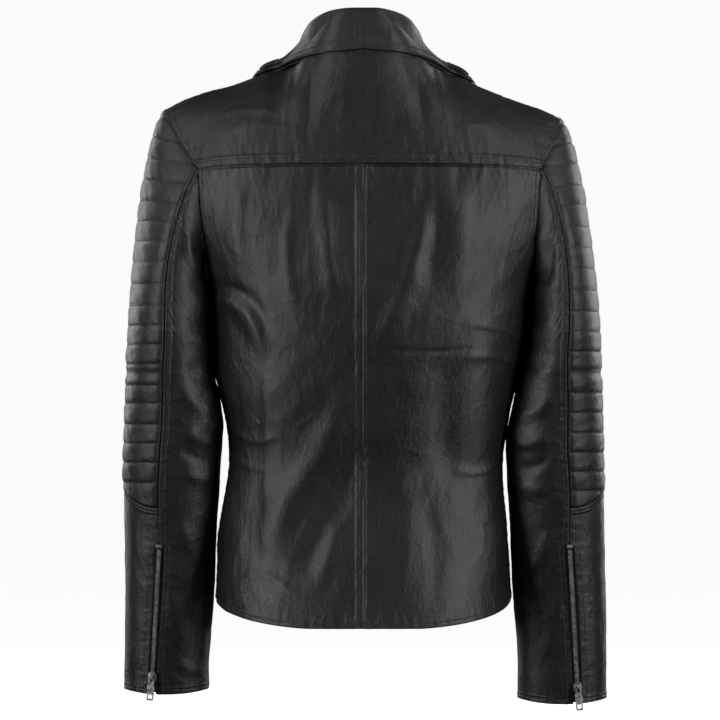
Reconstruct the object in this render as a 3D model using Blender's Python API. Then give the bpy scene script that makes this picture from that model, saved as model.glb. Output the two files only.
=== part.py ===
"""Leather riding jacket, as it hangs on a body: front towards -Y, wearer's left towards +X, +Z up.

All shapes come from a few surfaces: the torso's back and front, the two sleeves and the collar.
Each panel is a stretch of one surface, made into a closed shell. Lengths are in millimetres until
a mesh is made. The origin is the middle of the neck opening, level with the back neck seam.
"""

import math

import bmesh
import bpy
import numpy as np
from mathutils import Matrix, Vector

# ---------------------------------------------------------------- driving dimensions, mm
LEATHER = 2.0        # leather with its backing
LINING_OFFSET = 5.6  # outer leather face to lining
LINING = 0.8
SEAM_GAP = 0.35      # between neighbouring panels
YOKE_Z = -120.0      # yoke seam at centre back
HEM_Z = -617.0
UNDERARM_Z = -253.0
TORSO_Y = -6.0       # middle of the torso's depth
ROUND_BACK = 2.4     # superellipse exponents of the torso section
ROUND_FRONT = 2.7
HEAD_Z = -300.0      # where the sleeve head becomes a tube
ELBOW_Z = -420.0
ELBOW_HALF = 33.0    # the elbow section reaches this far above and below the elbow
QUILT_END_Z = -487.0
CUFF_Z = {1: -686.0, -1: -696.0}
CUFF_ZIP_TOP_Z = -533.0
ZIP_TEETH_WIDTH = 4.4
ZIP_TEETH_HEIGHT = 2.2
SIDES = {"left": 1, "right": -1}
MM = 0.001


def spline(*points):
    """A smooth function through (at, value) points, constant past its ends."""
    at, value = (np.array(row, float) for row in zip(*sorted(points)))
    slope = np.gradient(value, at)

    def curve(q):
        q = np.asarray(q, float)
        i = np.clip(np.searchsorted(at, q) - 1, 0, len(at) - 2)
        step = at[i + 1] - at[i]
        t = np.clip((q - at[i]) / step, 0, 1)
        rise = value[i + 1] - value[i]
        return value[i] + t * step * slope[i] + t * t * (
            3 * rise - step * (2 * slope[i] + slope[i + 1])
        ) + t * t * t * (step * (slope[i] + slope[i + 1]) - 2 * rise)

    return curve


def path(*points):
    """A smooth function from a parameter to a point in space, from (at, x, y, z) rows."""
    axes = [spline(*((row[0], row[k]) for row in points)) for k in (1, 2, 3)]
    return lambda q: np.stack([axis(q) for axis in axes], axis=-1)


# ---------------------------------------------------------------- torso
HALF_WIDTH = {
    1: spline((-617, 159), (-584, 159), (-560, 158), (-514, 155.5), (-482, 150.5), (-451, 145.5),
              (-425, 144.5), (-390, 149.5), (-370, 155), (-335, 162), (-287, 165), (-253, 168.5),
              (-235, 175), (-215, 184), (-190, 195), (-160, 206), (-115, 215)),
    -1: spline((-617, 158.5), (-584, 158), (-560, 156), (-514, 151.5), (-482, 148), (-451, 146),
               (-400, 154), (-350, 165), (-300, 177), (-253, 184), (-235, 190), (-215, 199),
               (-190, 209), (-160, 219), (-115, 230)),
}
DEPTH = {
    1: spline((-617, 107), (-560, 99), (-514, 92), (-480, 89), (-440, 90), (-400, 97), (-350, 106),
              (-300, 113), (-253, 116), (-215, 116), (-190, 115), (-160, 112), (-115, 103)),
    -1: spline((-617, 106), (-514, 108.5), (-400, 111.5), (-300, 114), (-228, 116), (-190, 113),
               (-160, 108), (-115, 94)),
}
ARMHOLE_DEPTH = {
    1: spline((-253, 0), (-249, 20), (-240, 37), (-225, 50), (-205, 60), (-180, 67), (-150, 70),
              (-115, 67)),
    -1: spline((-253, 0), (-249, 20), (-240, 36), (-225, 48), (-205, 56), (-180, 60), (-150, 59),
               (-115, 52)),
}
# the neckline and the shoulder ridge, from centre back out to the shoulder tip
TOP_EDGE = {
    1: path((0, 0, 58, 10), (.1, 23, 56, 9), (.2, 45, 47, 6), (.3, 65, 25, -1), (.36, 76, -2, -9),
            (.5, 107, -1, -23), (.66, 141, 0, -35.5), (.8, 170, 1, -43), (.92, 197, 2, -53),
            (1, 213, 3, -62)),
    -1: path((0, 0, 58, 10), (.1, -23, 56, 9), (.2, -45, 47, 6), (.3, -65, 25, -2),
             (.36, -76, -2, -11), (.5, -107, -1, -29), (.66, -141, 0, -44), (.8, -168, 1, -54),
             (.92, -194, 2, -63), (1, -210, 3, -71)),
}
NECK_Q = 0.36
BREAK = (45.0, -228.0)     # x, z where the front zip stops and the lapels open
ZIP_FOOT = (-20.0, -611.0)
GORGE = {1: (58.0, -98.0), -1: (-58.0, -98.0)}


def torso_at(angle, z, face):
    """Point of the torso section: angle 0 is the middle, a quarter turn is the side seam."""
    n = ROUND_BACK if face > 0 else ROUND_FRONT
    wide = np.where(angle >= 0, HALF_WIDTH[1](z), HALF_WIDTH[-1](z))
    x = np.sign(angle) * wide * np.abs(np.sin(angle)) ** (2 / n)
    y = TORSO_Y + face * DEPTH[face](z) * np.maximum(np.cos(angle), 0) ** (2 / n)
    return np.stack(np.broadcast_arrays(x, y, z), axis=-1)


def armhole_angle(z, face):
    n = ROUND_BACK if face > 0 else ROUND_FRONT
    share = np.clip(ARMHOLE_DEPTH[face](z) / DEPTH[face](z), 0, 1)
    return np.where(z >= UNDERARM_Z, np.arccos(share ** (n / 2)), math.pi / 2)


def angle_of(x, z, face):
    n = ROUND_BACK if face > 0 else ROUND_FRONT
    wide = np.where(x >= 0, HALF_WIDTH[1](z), HALF_WIDTH[-1](z))
    return np.sign(x) * np.arcsin(np.clip(np.abs(x) / wide, 0, 1) ** (n / 2))


def hermite(a, ta, b, tb, t):
    t = np.asarray(t, float)[..., None]
    return (
        a * (1 + 2 * t) * (1 - t) ** 2 + ta * t * (1 - t) ** 2
        + b * t * t * (3 - 2 * t) + tb * t * t * (t - 1)
    )


def over_shoulder(q, row, low, top, face, neck):
    """From the level of the yoke seam, up and over to the shoulder ridge or neckline."""
    t = np.clip((row - YOKE_Z) / (-15 - YOKE_Z), 0, 1)
    length = np.linalg.norm(top - low, axis=-1, keepdims=True)
    side = np.sign(top[..., :1] + 1e-9)
    out = np.abs(q)[..., None] ** 3
    start = np.concatenate([side * 0.55 * out, -face * (0.12 + 0.5 * out), 1 - 0.35 * out], -1)
    neck = neck[..., None]
    end = np.concatenate([side * 0.0 * out, -face * (0.95 - 0.6 * neck), 0.12 + 0.8 * neck], -1)
    return hermite(low, start * length * 1.05, top, end * length * 0.9, t)


def hem_lift(q, z, start):
    """The hem rises towards the side seams."""
    side = np.clip((np.abs(q) - start) / (1 - start), 0, 1) ** 1.4
    return 30 * side * np.clip((-470 - z) / 147, 0, 1) ** 1.6


def back(q, row):
    """Back surface: q from -1 (right) to 1 (left), row from the hem up, past YOKE_Z over the top."""
    q, row = np.broadcast_arrays(np.asarray(q, float), np.asarray(row, float))
    z = np.minimum(row, YOKE_Z)
    dip = 5 * np.abs(q) ** 3 * np.clip(1 - (YOKE_Z - z) / 80, 0, 1)
    z = z - dip + hem_lift(q, z, 0.2)
    low = torso_at(q * armhole_angle(z, 1), z, 1)
    a = np.abs(q)
    top = np.where((q >= 0)[..., None], TOP_EDGE[1](a), TOP_EDGE[-1](a))
    up = over_shoulder(q, row, low, top, 1, np.clip((NECK_Q - a) / 0.12, 0, 1))
    return np.where((row > YOKE_Z)[..., None], up, low)


def front_inner_x(z, side):
    """Where a front panel ends towards the middle: the zip, then the lapel's roll line."""
    (bx, bz), (fx, fz), (gx, gz) = BREAK, ZIP_FOOT, GORGE[side]
    zipped = fx + (bx - fx) * (z - fz) / (bz - fz) + side * 3.3
    opened = bx + side * 3.3 + (gx - bx - side * 3.3) * np.clip((z - bz) / (gz - bz), 0, 1)
    return np.where(z < bz, zipped, opened)


def front(q, row, side):
    """Front surface of one side: q from 0 at the zip to 1 at the side seam or armhole."""
    q, row = np.broadcast_arrays(np.asarray(q, float), np.asarray(row, float))
    z = np.minimum(row, YOKE_Z)
    z = z + hem_lift(q, z, 0.0)
    first = angle_of(front_inner_x(z, side), z, -1)
    last = side * armhole_angle(z, -1)
    low = torso_at(first + (last - first) * q, z, -1)
    top = TOP_EDGE[side](NECK_Q + (1 - NECK_Q) * q)
    up = over_shoulder(q, row, low, top, -1, np.zeros_like(q))
    return np.where((row > YOKE_Z)[..., None], up, low)


def front_y(x, z):
    n = ROUND_FRONT
    wide = np.where(x >= 0, HALF_WIDTH[1](z), HALF_WIDTH[-1](z))
    share = np.clip(1 - np.clip(np.abs(x) / wide, 0, 1) ** n, 0, 1)
    return TORSO_Y - DEPTH[-1](z) * share ** (1 / n)


# ---------------------------------------------------------------- sleeves
SLEEVE_OUT = {
    1: spline((-690, 259), (-600, 257), (-500, 258), (-430, 258), (-380, 256), (-330, 254.5),
              (-300, 253)),
    -1: spline((-696, 262), (-600, 261), (-500, 259), (-430, 257), (-380, 256), (-330, 254),
               (-300, 253)),
}
SLEEVE_IN = {
    1: spline((-690, 168), (-644, 167), (-617, 164.5), (-584, 162), (-514, 158.5), (-482, 156),
              (-432, 153), (-410, 152), (-380, 155.5), (-335, 164.5), (-300, 167.5)),
    -1: spline((-696, 166), (-640, 165.5), (-587, 161.5), (-510, 157), (-450, 153.5), (-420, 153.5),
               (-400, 157.5), (-350, 168), (-300, 180)),
}
SLEEVE_Y = spline((-696, -42), (-600, -29), (-533, -20), (-480, -13), (-430, -8), (-385, -6),
                  (-300, -4))
SLEEVE_DEEP = spline((-696, 36), (-600, 40), (-533, 45), (-480, 50), (-430, 56), (-385, 62),
                     (-340, 70), (-300, 77))
ROUND_SLEEVE = 2.2


def tube_at(turn, z, side):
    """Point of the sleeve tube: turn 0 is outermost, a quarter is the back, a half is inside."""
    out, inner = SLEEVE_OUT[side](z), SLEEVE_IN[side](z)
    c, s = np.cos(turn), np.sin(turn)
    x = (out + inner) / 2 + (out - inner) / 2 * np.sign(c) * np.abs(c) ** (2 / ROUND_SLEEVE)
    y = SLEEVE_Y(z) + SLEEVE_DEEP(z) * np.sign(s) * np.abs(s) ** (2 / ROUND_SLEEVE)
    return np.stack(np.broadcast_arrays(side * x, y, z), axis=-1)


def armhole_loop(side):
    """The armhole as a function of the turn around it, 0 at the shoulder tip, to the back first."""
    rows = np.concatenate([np.linspace(UNDERARM_Z, YOKE_Z, 40), np.linspace(YOKE_Z, -15, 20)[1:]])
    loop = np.concatenate([back(side * 1.0, rows)[::-1], front(1.0, rows, side)])
    turn = np.unwrap(np.arctan2(loop[:, 1] + 3, loop[:, 2] + 158))
    turn = np.concatenate([turn - 2 * math.pi, turn, turn + 2 * math.pi])
    loop = np.concatenate([loop, loop, loop])
    order = np.argsort(turn)
    return lambda q: np.stack([np.interp(q, turn[order], loop[order, k]) for k in range(3)], -1)


ARMHOLE = {side: armhole_loop(side) for side in SIDES.values()}


def sleeve(turn, row, side, ease=0.0):
    """Sleeve surface: row HEAD_Z + 200 is the armhole, HEAD_Z the start of the tube, then z."""
    turn, row = np.broadcast_arrays(np.asarray(turn, float), np.asarray(row, float))
    low = tube_at(turn, np.minimum(row, HEAD_Z), side)
    hole = ARMHOLE[side](turn)
    t = np.clip((HEAD_Z + 200 - row) / 200, 0, 1)
    length = np.linalg.norm(low - hole, axis=-1)
    down = (1 - np.cos(turn)) / 2
    tip = (1 - down) ** 6
    leave = np.stack([side * (0.72 - 0.45 * down - 0.40 * tip), 0.42 * np.sin(turn),
                      -0.62 - 0.35 * down + 0.32 * tip], -1)
    arrive = np.stack([side * 0.04 * np.cos(turn), 0 * turn, -np.ones_like(turn)], -1)
    foot = hole + leave * ((0.9 + ease) * (1 + 1.5 * tip))[..., None]
    head = hermite(foot, leave * length[..., None] * 0.95, low,
                   arrive * (length * (1.05 - 0.45 * tip))[..., None], t)
    return np.where((row > HEAD_Z)[..., None], head, low)


def seam_turn(row):
    """Turn of the quilted panel's back seam; its front seam lies opposite."""
    return np.radians(spline((-696, 73), (-600, 76), (-533, 79), (-482, 77), (-430, 78),
                             (-383, 81), (-300, 88), (-200, 80), (-100, 63))(row))


def front_seam_turn(row):
    return -np.radians(spline((-696, 80), (-482, 82), (-300, 88), (-200, 82), (-100, 66))(row))


# ---------------------------------------------------------------- meshes
materials = {}


def material(name, colour, roughness, metallic=0.0):
    made = bpy.data.materials.new(name)
    made.use_nodes = True
    shader = made.node_tree.nodes["Principled BSDF"]
    shader.inputs["Base Color"].default_value = (*colour, 1)
    shader.inputs["Roughness"].default_value = roughness
    shader.inputs["Metallic"].default_value = metallic
    made.diffuse_color = (*colour, 1)
    return made


def own_material(name, kind):
    colour, roughness, metallic = {
        "leather": ((0.022, 0.022, 0.024), 0.45, 0.0),
        "quilt": ((0.026, 0.026, 0.028), 0.42, 0.0),
        "lining": ((0.03, 0.03, 0.034), 0.6, 0.0),
        "tape": ((0.012, 0.012, 0.013), 0.85, 0.0),
        "metal": ((0.33, 0.31, 0.29), 0.32, 1.0),
        "label": ((0.05, 0.05, 0.055), 0.7, 0.0),
    }[kind]
    return material(name, colour, roughness, metallic)


def add(name, mesh, kind, matrix=None, smooth=True):
    obj = bpy.data.objects.new(name, mesh)
    bpy.context.collection.objects.link(obj)
    mesh.materials.append(own_material(name, kind))
    mesh.polygons.foreach_set("use_smooth", [smooth] * len(mesh.polygons))
    if matrix is not None:
        obj.matrix_world = matrix
    return obj


def face_normals(grid, wrap):
    if wrap:
        du = np.roll(grid, -1, 1) - np.roll(grid, 1, 1)
    else:
        du = np.gradient(grid, axis=1)
    normal = np.cross(du, np.gradient(grid, axis=0))
    length = np.linalg.norm(normal, axis=-1, keepdims=True)
    return normal / np.maximum(length, 1e-9)


def shell(name, grid, kind, outer=0.0, thick=LEATHER, outward=1, wrap=False):
    """A closed shell from a grid of points (rows, columns): its outer face at -outer from it.

    Both skins are split along the same diagonals, so a thin wall cannot cross itself.
    """
    normal = face_normals(grid, wrap) * outward
    skins = np.stack([grid - normal * outer, grid - normal * (outer + thick)])
    rows, columns = grid.shape[:2]
    index = np.arange(2 * rows * columns).reshape(2, rows, columns)
    if wrap:
        index = np.concatenate([index, index[:, :, :1]], axis=2)
    faces = []
    for skin in (0, 1):
        a, b = index[skin, :-1, :-1], index[skin, :-1, 1:]
        c, d = index[skin, 1:, 1:], index[skin, 1:, :-1]
        halves = np.concatenate([np.stack([a, b, c], -1), np.stack([a, c, d], -1)]).reshape(-1, 3)
        faces += (halves if (skin == 0) == (outward > 0) else halves[:, ::-1]).tolist()
    rims = [index[:, 0, :], index[:, -1, ::-1]]
    if not wrap:
        rims += [index[:, ::-1, 0], index[:, :, -1]]
    for rim in rims:
        quads = np.stack([rim[0, 1:], rim[0, :-1], rim[1, :-1], rim[1, 1:]], -1)
        faces += (quads if outward > 0 else quads[:, ::-1]).tolist()
    mesh = bpy.data.meshes.new(name)
    mesh.from_pydata((skins.reshape(-1, 3) * MM).tolist(), [], faces)
    return add(name, mesh, kind)


def rows_of(low, high, count, gap=SEAM_GAP / 2):
    return np.linspace(low + gap, high - gap, count)


def outline_mesh(name, outline, low, high):
    """A flat outline of (along, across) points, extruded from height low to high."""
    mesh = bpy.data.meshes.new(name)
    made = bmesh.new()
    rim = [made.verts.new((u * MM, v * MM, low * MM)) for u, v in outline]
    face = made.faces.new(rim)
    lifted = bmesh.ops.extrude_face_region(made, geom=[face])["geom"]
    moved = [v for v in lifted if isinstance(v, bmesh.types.BMVert)]
    bmesh.ops.translate(made, verts=moved, vec=(0, 0, (high - low) * MM))
    bmesh.ops.recalc_face_normals(made, faces=made.faces)
    made.to_mesh(mesh)
    made.free()
    return mesh


def block(name, u, v, h):
    return outline_mesh(name, [(u[0], v[0]), (u[1], v[0]), (u[1], v[1]), (u[0], v[1])], *h)


def cut(obj, mesh, operation="DIFFERENCE"):
    """A Boolean with a hidden helper, placed as obj is."""
    helper = bpy.data.objects.new(obj.name + "_" + mesh.name, mesh)
    bpy.context.collection.objects.link(helper)
    helper.matrix_world = obj.matrix_world
    helper.hide_render = True
    helper.display_type = "WIRE"
    modifier = obj.modifiers.new(mesh.name, "BOOLEAN")
    modifier.object = helper
    modifier.operation = operation
    modifier.solver = "EXACT"
    return helper


def placed(at, along, normal):
    """World matrix with x along the zip, z off the surface, at a point in millimetres."""
    x = Vector(along).normalized()
    z = Vector(normal)
    z = (z - x * z.dot(x)).normalized()
    turned = Matrix((x, z.cross(x), z)).transposed().to_4x4()
    return Matrix.Translation(Vector(at) * MM) @ turned


def empty(name, at):
    made = bpy.data.objects.new(name, None)
    made.empty_display_size = 0.02
    bpy.context.collection.objects.link(made)
    made.matrix_world = Matrix.Translation(Vector(at) * MM)
    return made


def attach(child, parent):
    bpy.context.view_layer.update()
    placed_at = child.matrix_world.copy()
    child.parent = parent
    child.matrix_world = placed_at


# ---------------------------------------------------------------- zips
def teeth(name, matrix, length, pitch, scale=1.0):
    """Closed zip teeth: one comb of alternating teeth along +x, joined down the middle."""
    half = ZIP_TEETH_WIDTH / 2 * scale
    count = int(length / pitch)
    upper, lower = [], []
    for k in range(count):
        u = k * pitch
        upper += [(u, 0.7), (u, half), (u + pitch / 2, half), (u + pitch / 2, 0.7)]
        lower += [(u + pitch / 2, -0.7), (u + pitch / 2, -half), (u + pitch, -half), (u + pitch, -0.7)]
    outline = [(-0.8, 0.7)] + upper[1:] + [(count * pitch + 0.8, 0.7), (count * pitch + 0.8, -0.7)]
    outline += lower[::-1][1:] + [(-0.8, -0.7)]
    mesh = outline_mesh(name, outline, 1.0, 1.0 + ZIP_TEETH_HEIGHT * scale)
    return add(name, mesh, "metal", matrix, smooth=False)


def slider(name, matrix, scale=1.0):
    """Slider at the zip's foot: a sleeve around the teeth, with a crown for the pull."""
    s = scale
    plan = [(-5.5, -3.3), (-4.6, -4.3), (1.5, -4.5), (5.0, -3.9), (5.6, -2.5), (5.6, 2.5),
            (5.0, 3.9), (1.5, 4.5), (-4.6, 4.3), (-5.5, 3.3)]
    mesh = outline_mesh(name, [(u * s, v * s) for u, v in plan], 0.15, 1.0 + 4.1 * s)
    obj = add(name, mesh, "metal", matrix, smooth=False)
    wide = ZIP_TEETH_WIDTH / 2 * s + 0.35
    cut(obj, block("channel", (-20, 20), (-wide, wide), (0.68, 1.3 + ZIP_TEETH_HEIGHT * s)))
    top = 1.0 + 4.1 * s
    cut(obj, block("crown", (-4 * s, 4 * s), (-1.2 * s, 1.2 * s), (top - 0.5, top + 3.2 * s)), "UNION")
    cut(obj, block("eye", (-1.3 * s, 1.3 * s), (-5 * s, 5 * s), (top + 0.02, top + 2.1 * s)))
    return obj


def puller(name, matrix, parent, length=24.0, width=7.5, scale=1.0):
    """Pull plate, hanging: a bar through the slider's eye, two arms, and a plate with a window."""
    s = scale
    at = matrix @ Matrix.Translation(Vector((0, 0, (1.0 + 4.1 * s + 1.05 * s) * MM)))
    down = at.to_3x3().transposed() @ Vector((0, 0, -1))
    at = at @ Matrix.Rotation(max(0.0, math.atan2(down.z, -down.x)), 4, "Y")
    half = width / 2 * s
    plan = [(0.75, -3.0), (0.75, 3.0), (-5.4, 3.0), (-6.4, half / s), (-length + 1, half / s),
            (-length, half / s - 1), (-length, -half / s + 1), (-length + 1, -half / s),
            (-6.4, -half / s), (-5.4, -3.0)]
    mesh = outline_mesh(name, [(u * s, v * s) for u, v in plan], -0.6 * s, 0.6 * s)
    obj = add(name, mesh, "metal", at, smooth=False)
    cut(obj, block("eye", (-5.2 * s, -0.75 * s), (-1.75 * s, 1.75 * s), (-3, 3)))
    cut(obj, block("window", ((-length + 2.2) * s, (-length + 6.4) * s), (-2.1 * s, 2.1 * s), (-3, 3)))
    attach(obj, parent)
    return obj


def stop_block(name, matrix, along, scale=1.0):
    half = 3.1 * scale
    mesh = outline_mesh(name, [(along, -half), (along + 3.2, -half), (along + 3.2, half),
                               (along, half)], 1.0, 1.0 + 2.6 * scale)
    return add(name, mesh, "metal", matrix, smooth=False)


def zip_line(surface, away, half_width):
    """Matrix at the foot of a straight zip laid on a surface, its x along it, and its length.

    surface gives the point a share of the way along the zip, and a distance to its side.
    """
    foot, head = Vector(surface(0, 0)), Vector(surface(1, 0))
    away = Vector(away).normalized()
    lift = max((Vector(surface(k / 20, w)) - foot.lerp(head, k / 20)).dot(away)
               for k in range(21) for w in (-half_width, 0, half_width))
    return placed(foot + away * (lift + 0.4), head - foot, away), (head - foot).length


# ---------------------------------------------------------------- build
for old in list(bpy.data.objects):
    bpy.data.objects.remove(old)

QS = np.linspace(0, 1, 10)
LOW_ROWS = np.concatenate([np.linspace(-617, -450, 6), np.linspace(-415, -260, 6),
                           [-253, -240, -222, -200, -175, -147]])


LINING_QS = np.linspace(0, 1, 7)
LINING_ROWS = np.array([-599, -550, -500, -450, -400, -350, -300, -262, -244, -222, -190, -150, -115,
                        -98, -81, -64, -46, -29.0])


def body_rows(low, high):
    inside = LOW_ROWS[(LOW_ROWS > low + 8) & (LOW_ROWS < high - 8)]
    return np.concatenate([[low + SEAM_GAP / 2], inside, [high - SEAM_GAP / 2]])


def seam_inset(values, low_gap, high_gap):
    """Columns 0..1 pulled in a little at each end."""
    return low_gap + (1 - low_gap - high_gap) * values


# torso leather
over_rows = np.linspace(YOKE_Z + 1.0, -16, 8)[:, None]
yoke_q = np.linspace(-0.998, 0.998, 21)[None, :]
shell("back_yoke", back(yoke_q, over_rows), "leather", outward=-1)
for side_name, side in SIDES.items():
    rows = body_rows(HEM_Z, YOKE_Z)[:, None]
    q = side * seam_inset(QS, 0.0003, 0.003)[None, :]
    shell("back_panel_" + side_name, back(q, rows), "leather", outward=-side)
    rows = np.concatenate([body_rows(HEM_Z, YOKE_Z), np.linspace(YOKE_Z + 14, -18, 7)])[:, None]
    shell("front_panel_" + side_name, front(seam_inset(QS, 0, 0.002)[None, :], rows, side),
          "leather", outward=side)
    shell("lining_front_" + side_name,
          front(seam_inset(LINING_QS, 0.06, 0.004)[None, :], LINING_ROWS[:, None], side),
          "lining", LINING_OFFSET, LINING, side)
LINING_BACK_QS = np.linspace(-0.985, 0.985, 15)
shell("lining_back", back(LINING_BACK_QS[None, :], LINING_ROWS[:, None]), "lining",
      LINING_OFFSET, LINING, -1)

# pocket bags, between leather and lining
for side_name, side in SIDES.items():
    bag_q = seam_inset(QS, 0, 0.002)[2:8][None, :]
    bag_rows = LOW_ROWS[1:6][:, None]
    shell("pocket_bag_" + side_name, front(bag_q, bag_rows, side), "lining", 2.4, 1.2, side)

# collar: a stand round the neck, and a fall folded down over the yoke and shoulders
def torso_point(side, q, row, lift):
    """Point just off the back surface, or off the front one where q is over 1 (then q - 1)."""
    def surface(dq, drow):
        return front(q - 1 + dq, row + drow, side) if q > 1 else back(side * (q + dq), row + drow)
    here = surface(0, 0)
    normal = np.cross(surface(0.01, 0) - here, surface(0, -1) - here)
    normal *= (1 if q <= 1 else -1) * side / np.linalg.norm(normal)
    return here + normal * lift


COLLAR_ROLL = path((0, 0, 51, 43.8), (.15, 21, 49.5, 43.2), (.3, 38, 41, 39.5), (.45, 53, 23, 30.5),
                   (.6, 62, -6, 13), (.75, 64, -40, -13), (.9, 59, -76, -52), (1, 55, -97, -82))
NECK_ROUTE = [(0, 0, -16), (.15, .1, -16), (.3, .2, -16), (.45, .3, -16), (.58, 1, -16), (.7, 1, -45),
              (.82, 1, -70), (.92, 1, -92), (1, 1, -99)]
EDGE_ROUTE = [(0, 0, -24), (.15, .17, -25), (.3, .31, -26), (.45, .44, -24), (.57, .545, -17.5),
              (.7, 1.32, -36), (.84, 1.3, -66), (.94, 1.22, -92), (1, 1.12, -104)]


def collar_path(side, route, lift, inward=0.0):
    points = np.array([torso_point(side, q + 1e-6 if q == 1 else q, row, lift) for _, q, row in route])
    points[0, 0] = 0
    points[:, 0] -= side * inward * np.minimum(1, np.abs(points[:, 0]) / 40)
    points[:, 2] += inward
    return path(*((a, *point) for (a, _, _), point in zip(route, points)))


def collar_row(a, left, right):
    return np.where((a >= 0)[:, None], left(np.abs(a)), right(np.abs(a)))


def mirrored(curve):
    return lambda q: curve(q) * np.array([-1, 1, 1])


a = np.linspace(-0.985, 0.985, 27)
roll = collar_row(a, COLLAR_ROLL, mirrored(COLLAR_ROLL))
roll[:, 0] += 3 * (1 - a ** 4)
neck = collar_row(a, *(collar_path(side, NECK_ROUTE, -0.5, 2.6) for side in (1, -1)))
edge = collar_row(a, *(collar_path(side, EDGE_ROUTE, 3.4) for side in (1, -1)))
inside = collar_row(a, *(collar_path(side, [(k, q - .06 * (q > 1), min(row + 9, -16.2))
                                            for k, q, row in EDGE_ROUTE], 3.6) for side in (1, -1)))
stand = np.array([neck * (1 - k) + roll * k for k in np.linspace(0.0, 0.9, 5)])
shell("collar_stand", stand, "leather", 0.0, 2.2, -1)
outward = np.stack([roll[:, 0], roll[:, 1] + 20, 0 * a], -1)
outward /= np.linalg.norm(outward, axis=-1, keepdims=True)
start = roll + outward * 3.6 + np.array([0, 0, 1.0])
length = np.linalg.norm(edge - start, axis=-1, keepdims=True)
arrive = (edge - inside) / np.linalg.norm(edge - inside, axis=-1, keepdims=True) * length * 0.8
steep = np.clip((np.abs(a) - 0.05) / 0.25, 0, 1)[:, None]
steep = steep * steep * (3 - 2 * steep) * (1 - np.clip((np.abs(a)[:, None] - 0.54) / 0.12, 0, 1))
leave = outward * (0.7 - 0.55 * steep) + np.array([0, 0, 1]) * (0.15 - 1.15 * steep)
leave = leave * length * (0.75 + 0.15 * steep)
fall = np.array([hermite(start, leave, edge, arrive, np.full(len(a), k))
                 for k in np.linspace(0, 1, 7)])
shell("collar_fall", fall[::-1], "leather", -1.0, 2.0, -1)

# lapels, snapped down on the chest; each folds about a straight line from the break to the gorge
LAPEL_FOLD = {}
for side_name, side in SIDES.items():
    bx, bz = BREAK[0] + side * 4, BREAK[1] + 4
    gx, gz = GORGE[side][0] + side * 3, GORGE[side][1] - 4
    inner = np.stack([np.linspace(bx, gx, 9), np.linspace(bz, gz, 9)], -1)
    outer_edge = spline((0, 5), (.3, 44), (.62, 78), (.78, 80), (1, 42))
    drop_edge = spline((0, 6), (.3, 4), (.62, -14), (.78, -22), (1, -10))
    v = np.linspace(0, 1, 9)
    outer_x = inner[:, 0] + side * outer_edge(v)
    outer_z = inner[:, 1] + drop_edge(v)
    LAPEL_FOLD[side] = [(x, float(front_y(x, z)) - 3.6, z) for x, z in (inner[0], inner[-1])]
    grid = []
    for u in np.linspace(0, 1, 6):
        x = inner[:, 0] * (1 - u) + outer_x * u
        z = inner[:, 1] * (1 - u) + outer_z * u
        grid.append(np.stack([x, front_y(x, z) - 4.2, z], -1))
    shell("lapel_" + side_name, np.array(grid), "leather", 0, 2.0, -side)

# hanger loop and blank label at the back neck, on the inside
loop = path((0, -26, 52.0, 4.0), (.2, -18, 46, -3), (.5, 0, 42, -7), (.8, 18, 46, -3), (1, 26, 52, 4))
mesh = bpy.data.curves.new("hanger_loop", "CURVE")
mesh.dimensions = "3D"
mesh.bevel_depth = 1.6 * MM
mesh.bevel_resolution = 1
mesh.use_fill_caps = True
run = mesh.splines.new("POLY")
run.points.add(14)
for k, point in enumerate(loop(np.linspace(0, 1, 15))):
    run.points[k].co = (*(point * MM), 1)
hanger = bpy.data.objects.new("hanger_loop", mesh)
bpy.context.collection.objects.link(hanger)
mesh.materials.append(own_material("hanger_loop", "tape"))
label_q, label_row = LINING_BACK_QS[6:9][None, :], LINING_ROWS[14:16][:, None]
shell("neck_label", back(label_q, label_row), "label", LINING_OFFSET + LINING + 1.0, 0.8, -1)

# front zip
def line_on_front(foot, head):
    def point(t, aside=0.0):
        x = foot[0] + (head[0] - foot[0]) * t + aside
        z = foot[1] + (head[1] - foot[1]) * t
        return (x, float(front_y(x, z)), z)
    return point


front_line = line_on_front(ZIP_FOOT, BREAK)
front_zip, front_length = zip_line(front_line, (0, -1, 0), 6)
FRONT_SCALE = 1.25
teeth("front_zip_teeth", front_zip, front_length - 8, 12.0, FRONT_SCALE)
stop_block("front_zip_stop", front_zip, -5.6, FRONT_SCALE)
tape_rows = np.linspace(0.0, 0.985, 14)
tape = np.array([[front_line(k, w) for w in (13, 5, -5, -13)] for k in tape_rows])
shell("front_zip_tape", tape, "tape", 2.4, 0.8, -1)
run = Matrix.Translation(Vector(((front_length - 6) * MM, 0, 0)))
front_slider = slider("front_zip_slider", front_zip @ run, FRONT_SCALE)
puller("front_zip_puller", front_zip @ run, front_slider, 30, 8, FRONT_SCALE)

# slanted pocket zips
for side_name, side in SIDES.items():
    pocket_line = line_on_front((side * 78, -452.0), (side * 100, -560.0))
    pocket, length = zip_line(pocket_line, (side * 0.5, -1, 0), 20)
    teeth("pocket_zip_teeth_" + side_name, pocket @ Matrix.Translation((0.006, 0, 0)), length - 6, 10.0)
    welt = [(-9, -9), (length + 5, -9), (length + 7, 0), (length + 5, 9), (-9, 9), (-11, 0)]
    add("pocket_welt_" + side_name, outline_mesh("welt", welt, -0.65, 0.1), "leather", pocket)
    run = pocket @ Matrix.Translation((0.004, 0, 0))
    made = slider("pocket_slider_" + side_name, run)
    puller("pocket_puller_" + side_name, run @ Matrix.Rotation(math.pi, 4, "Z"), made)

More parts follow.
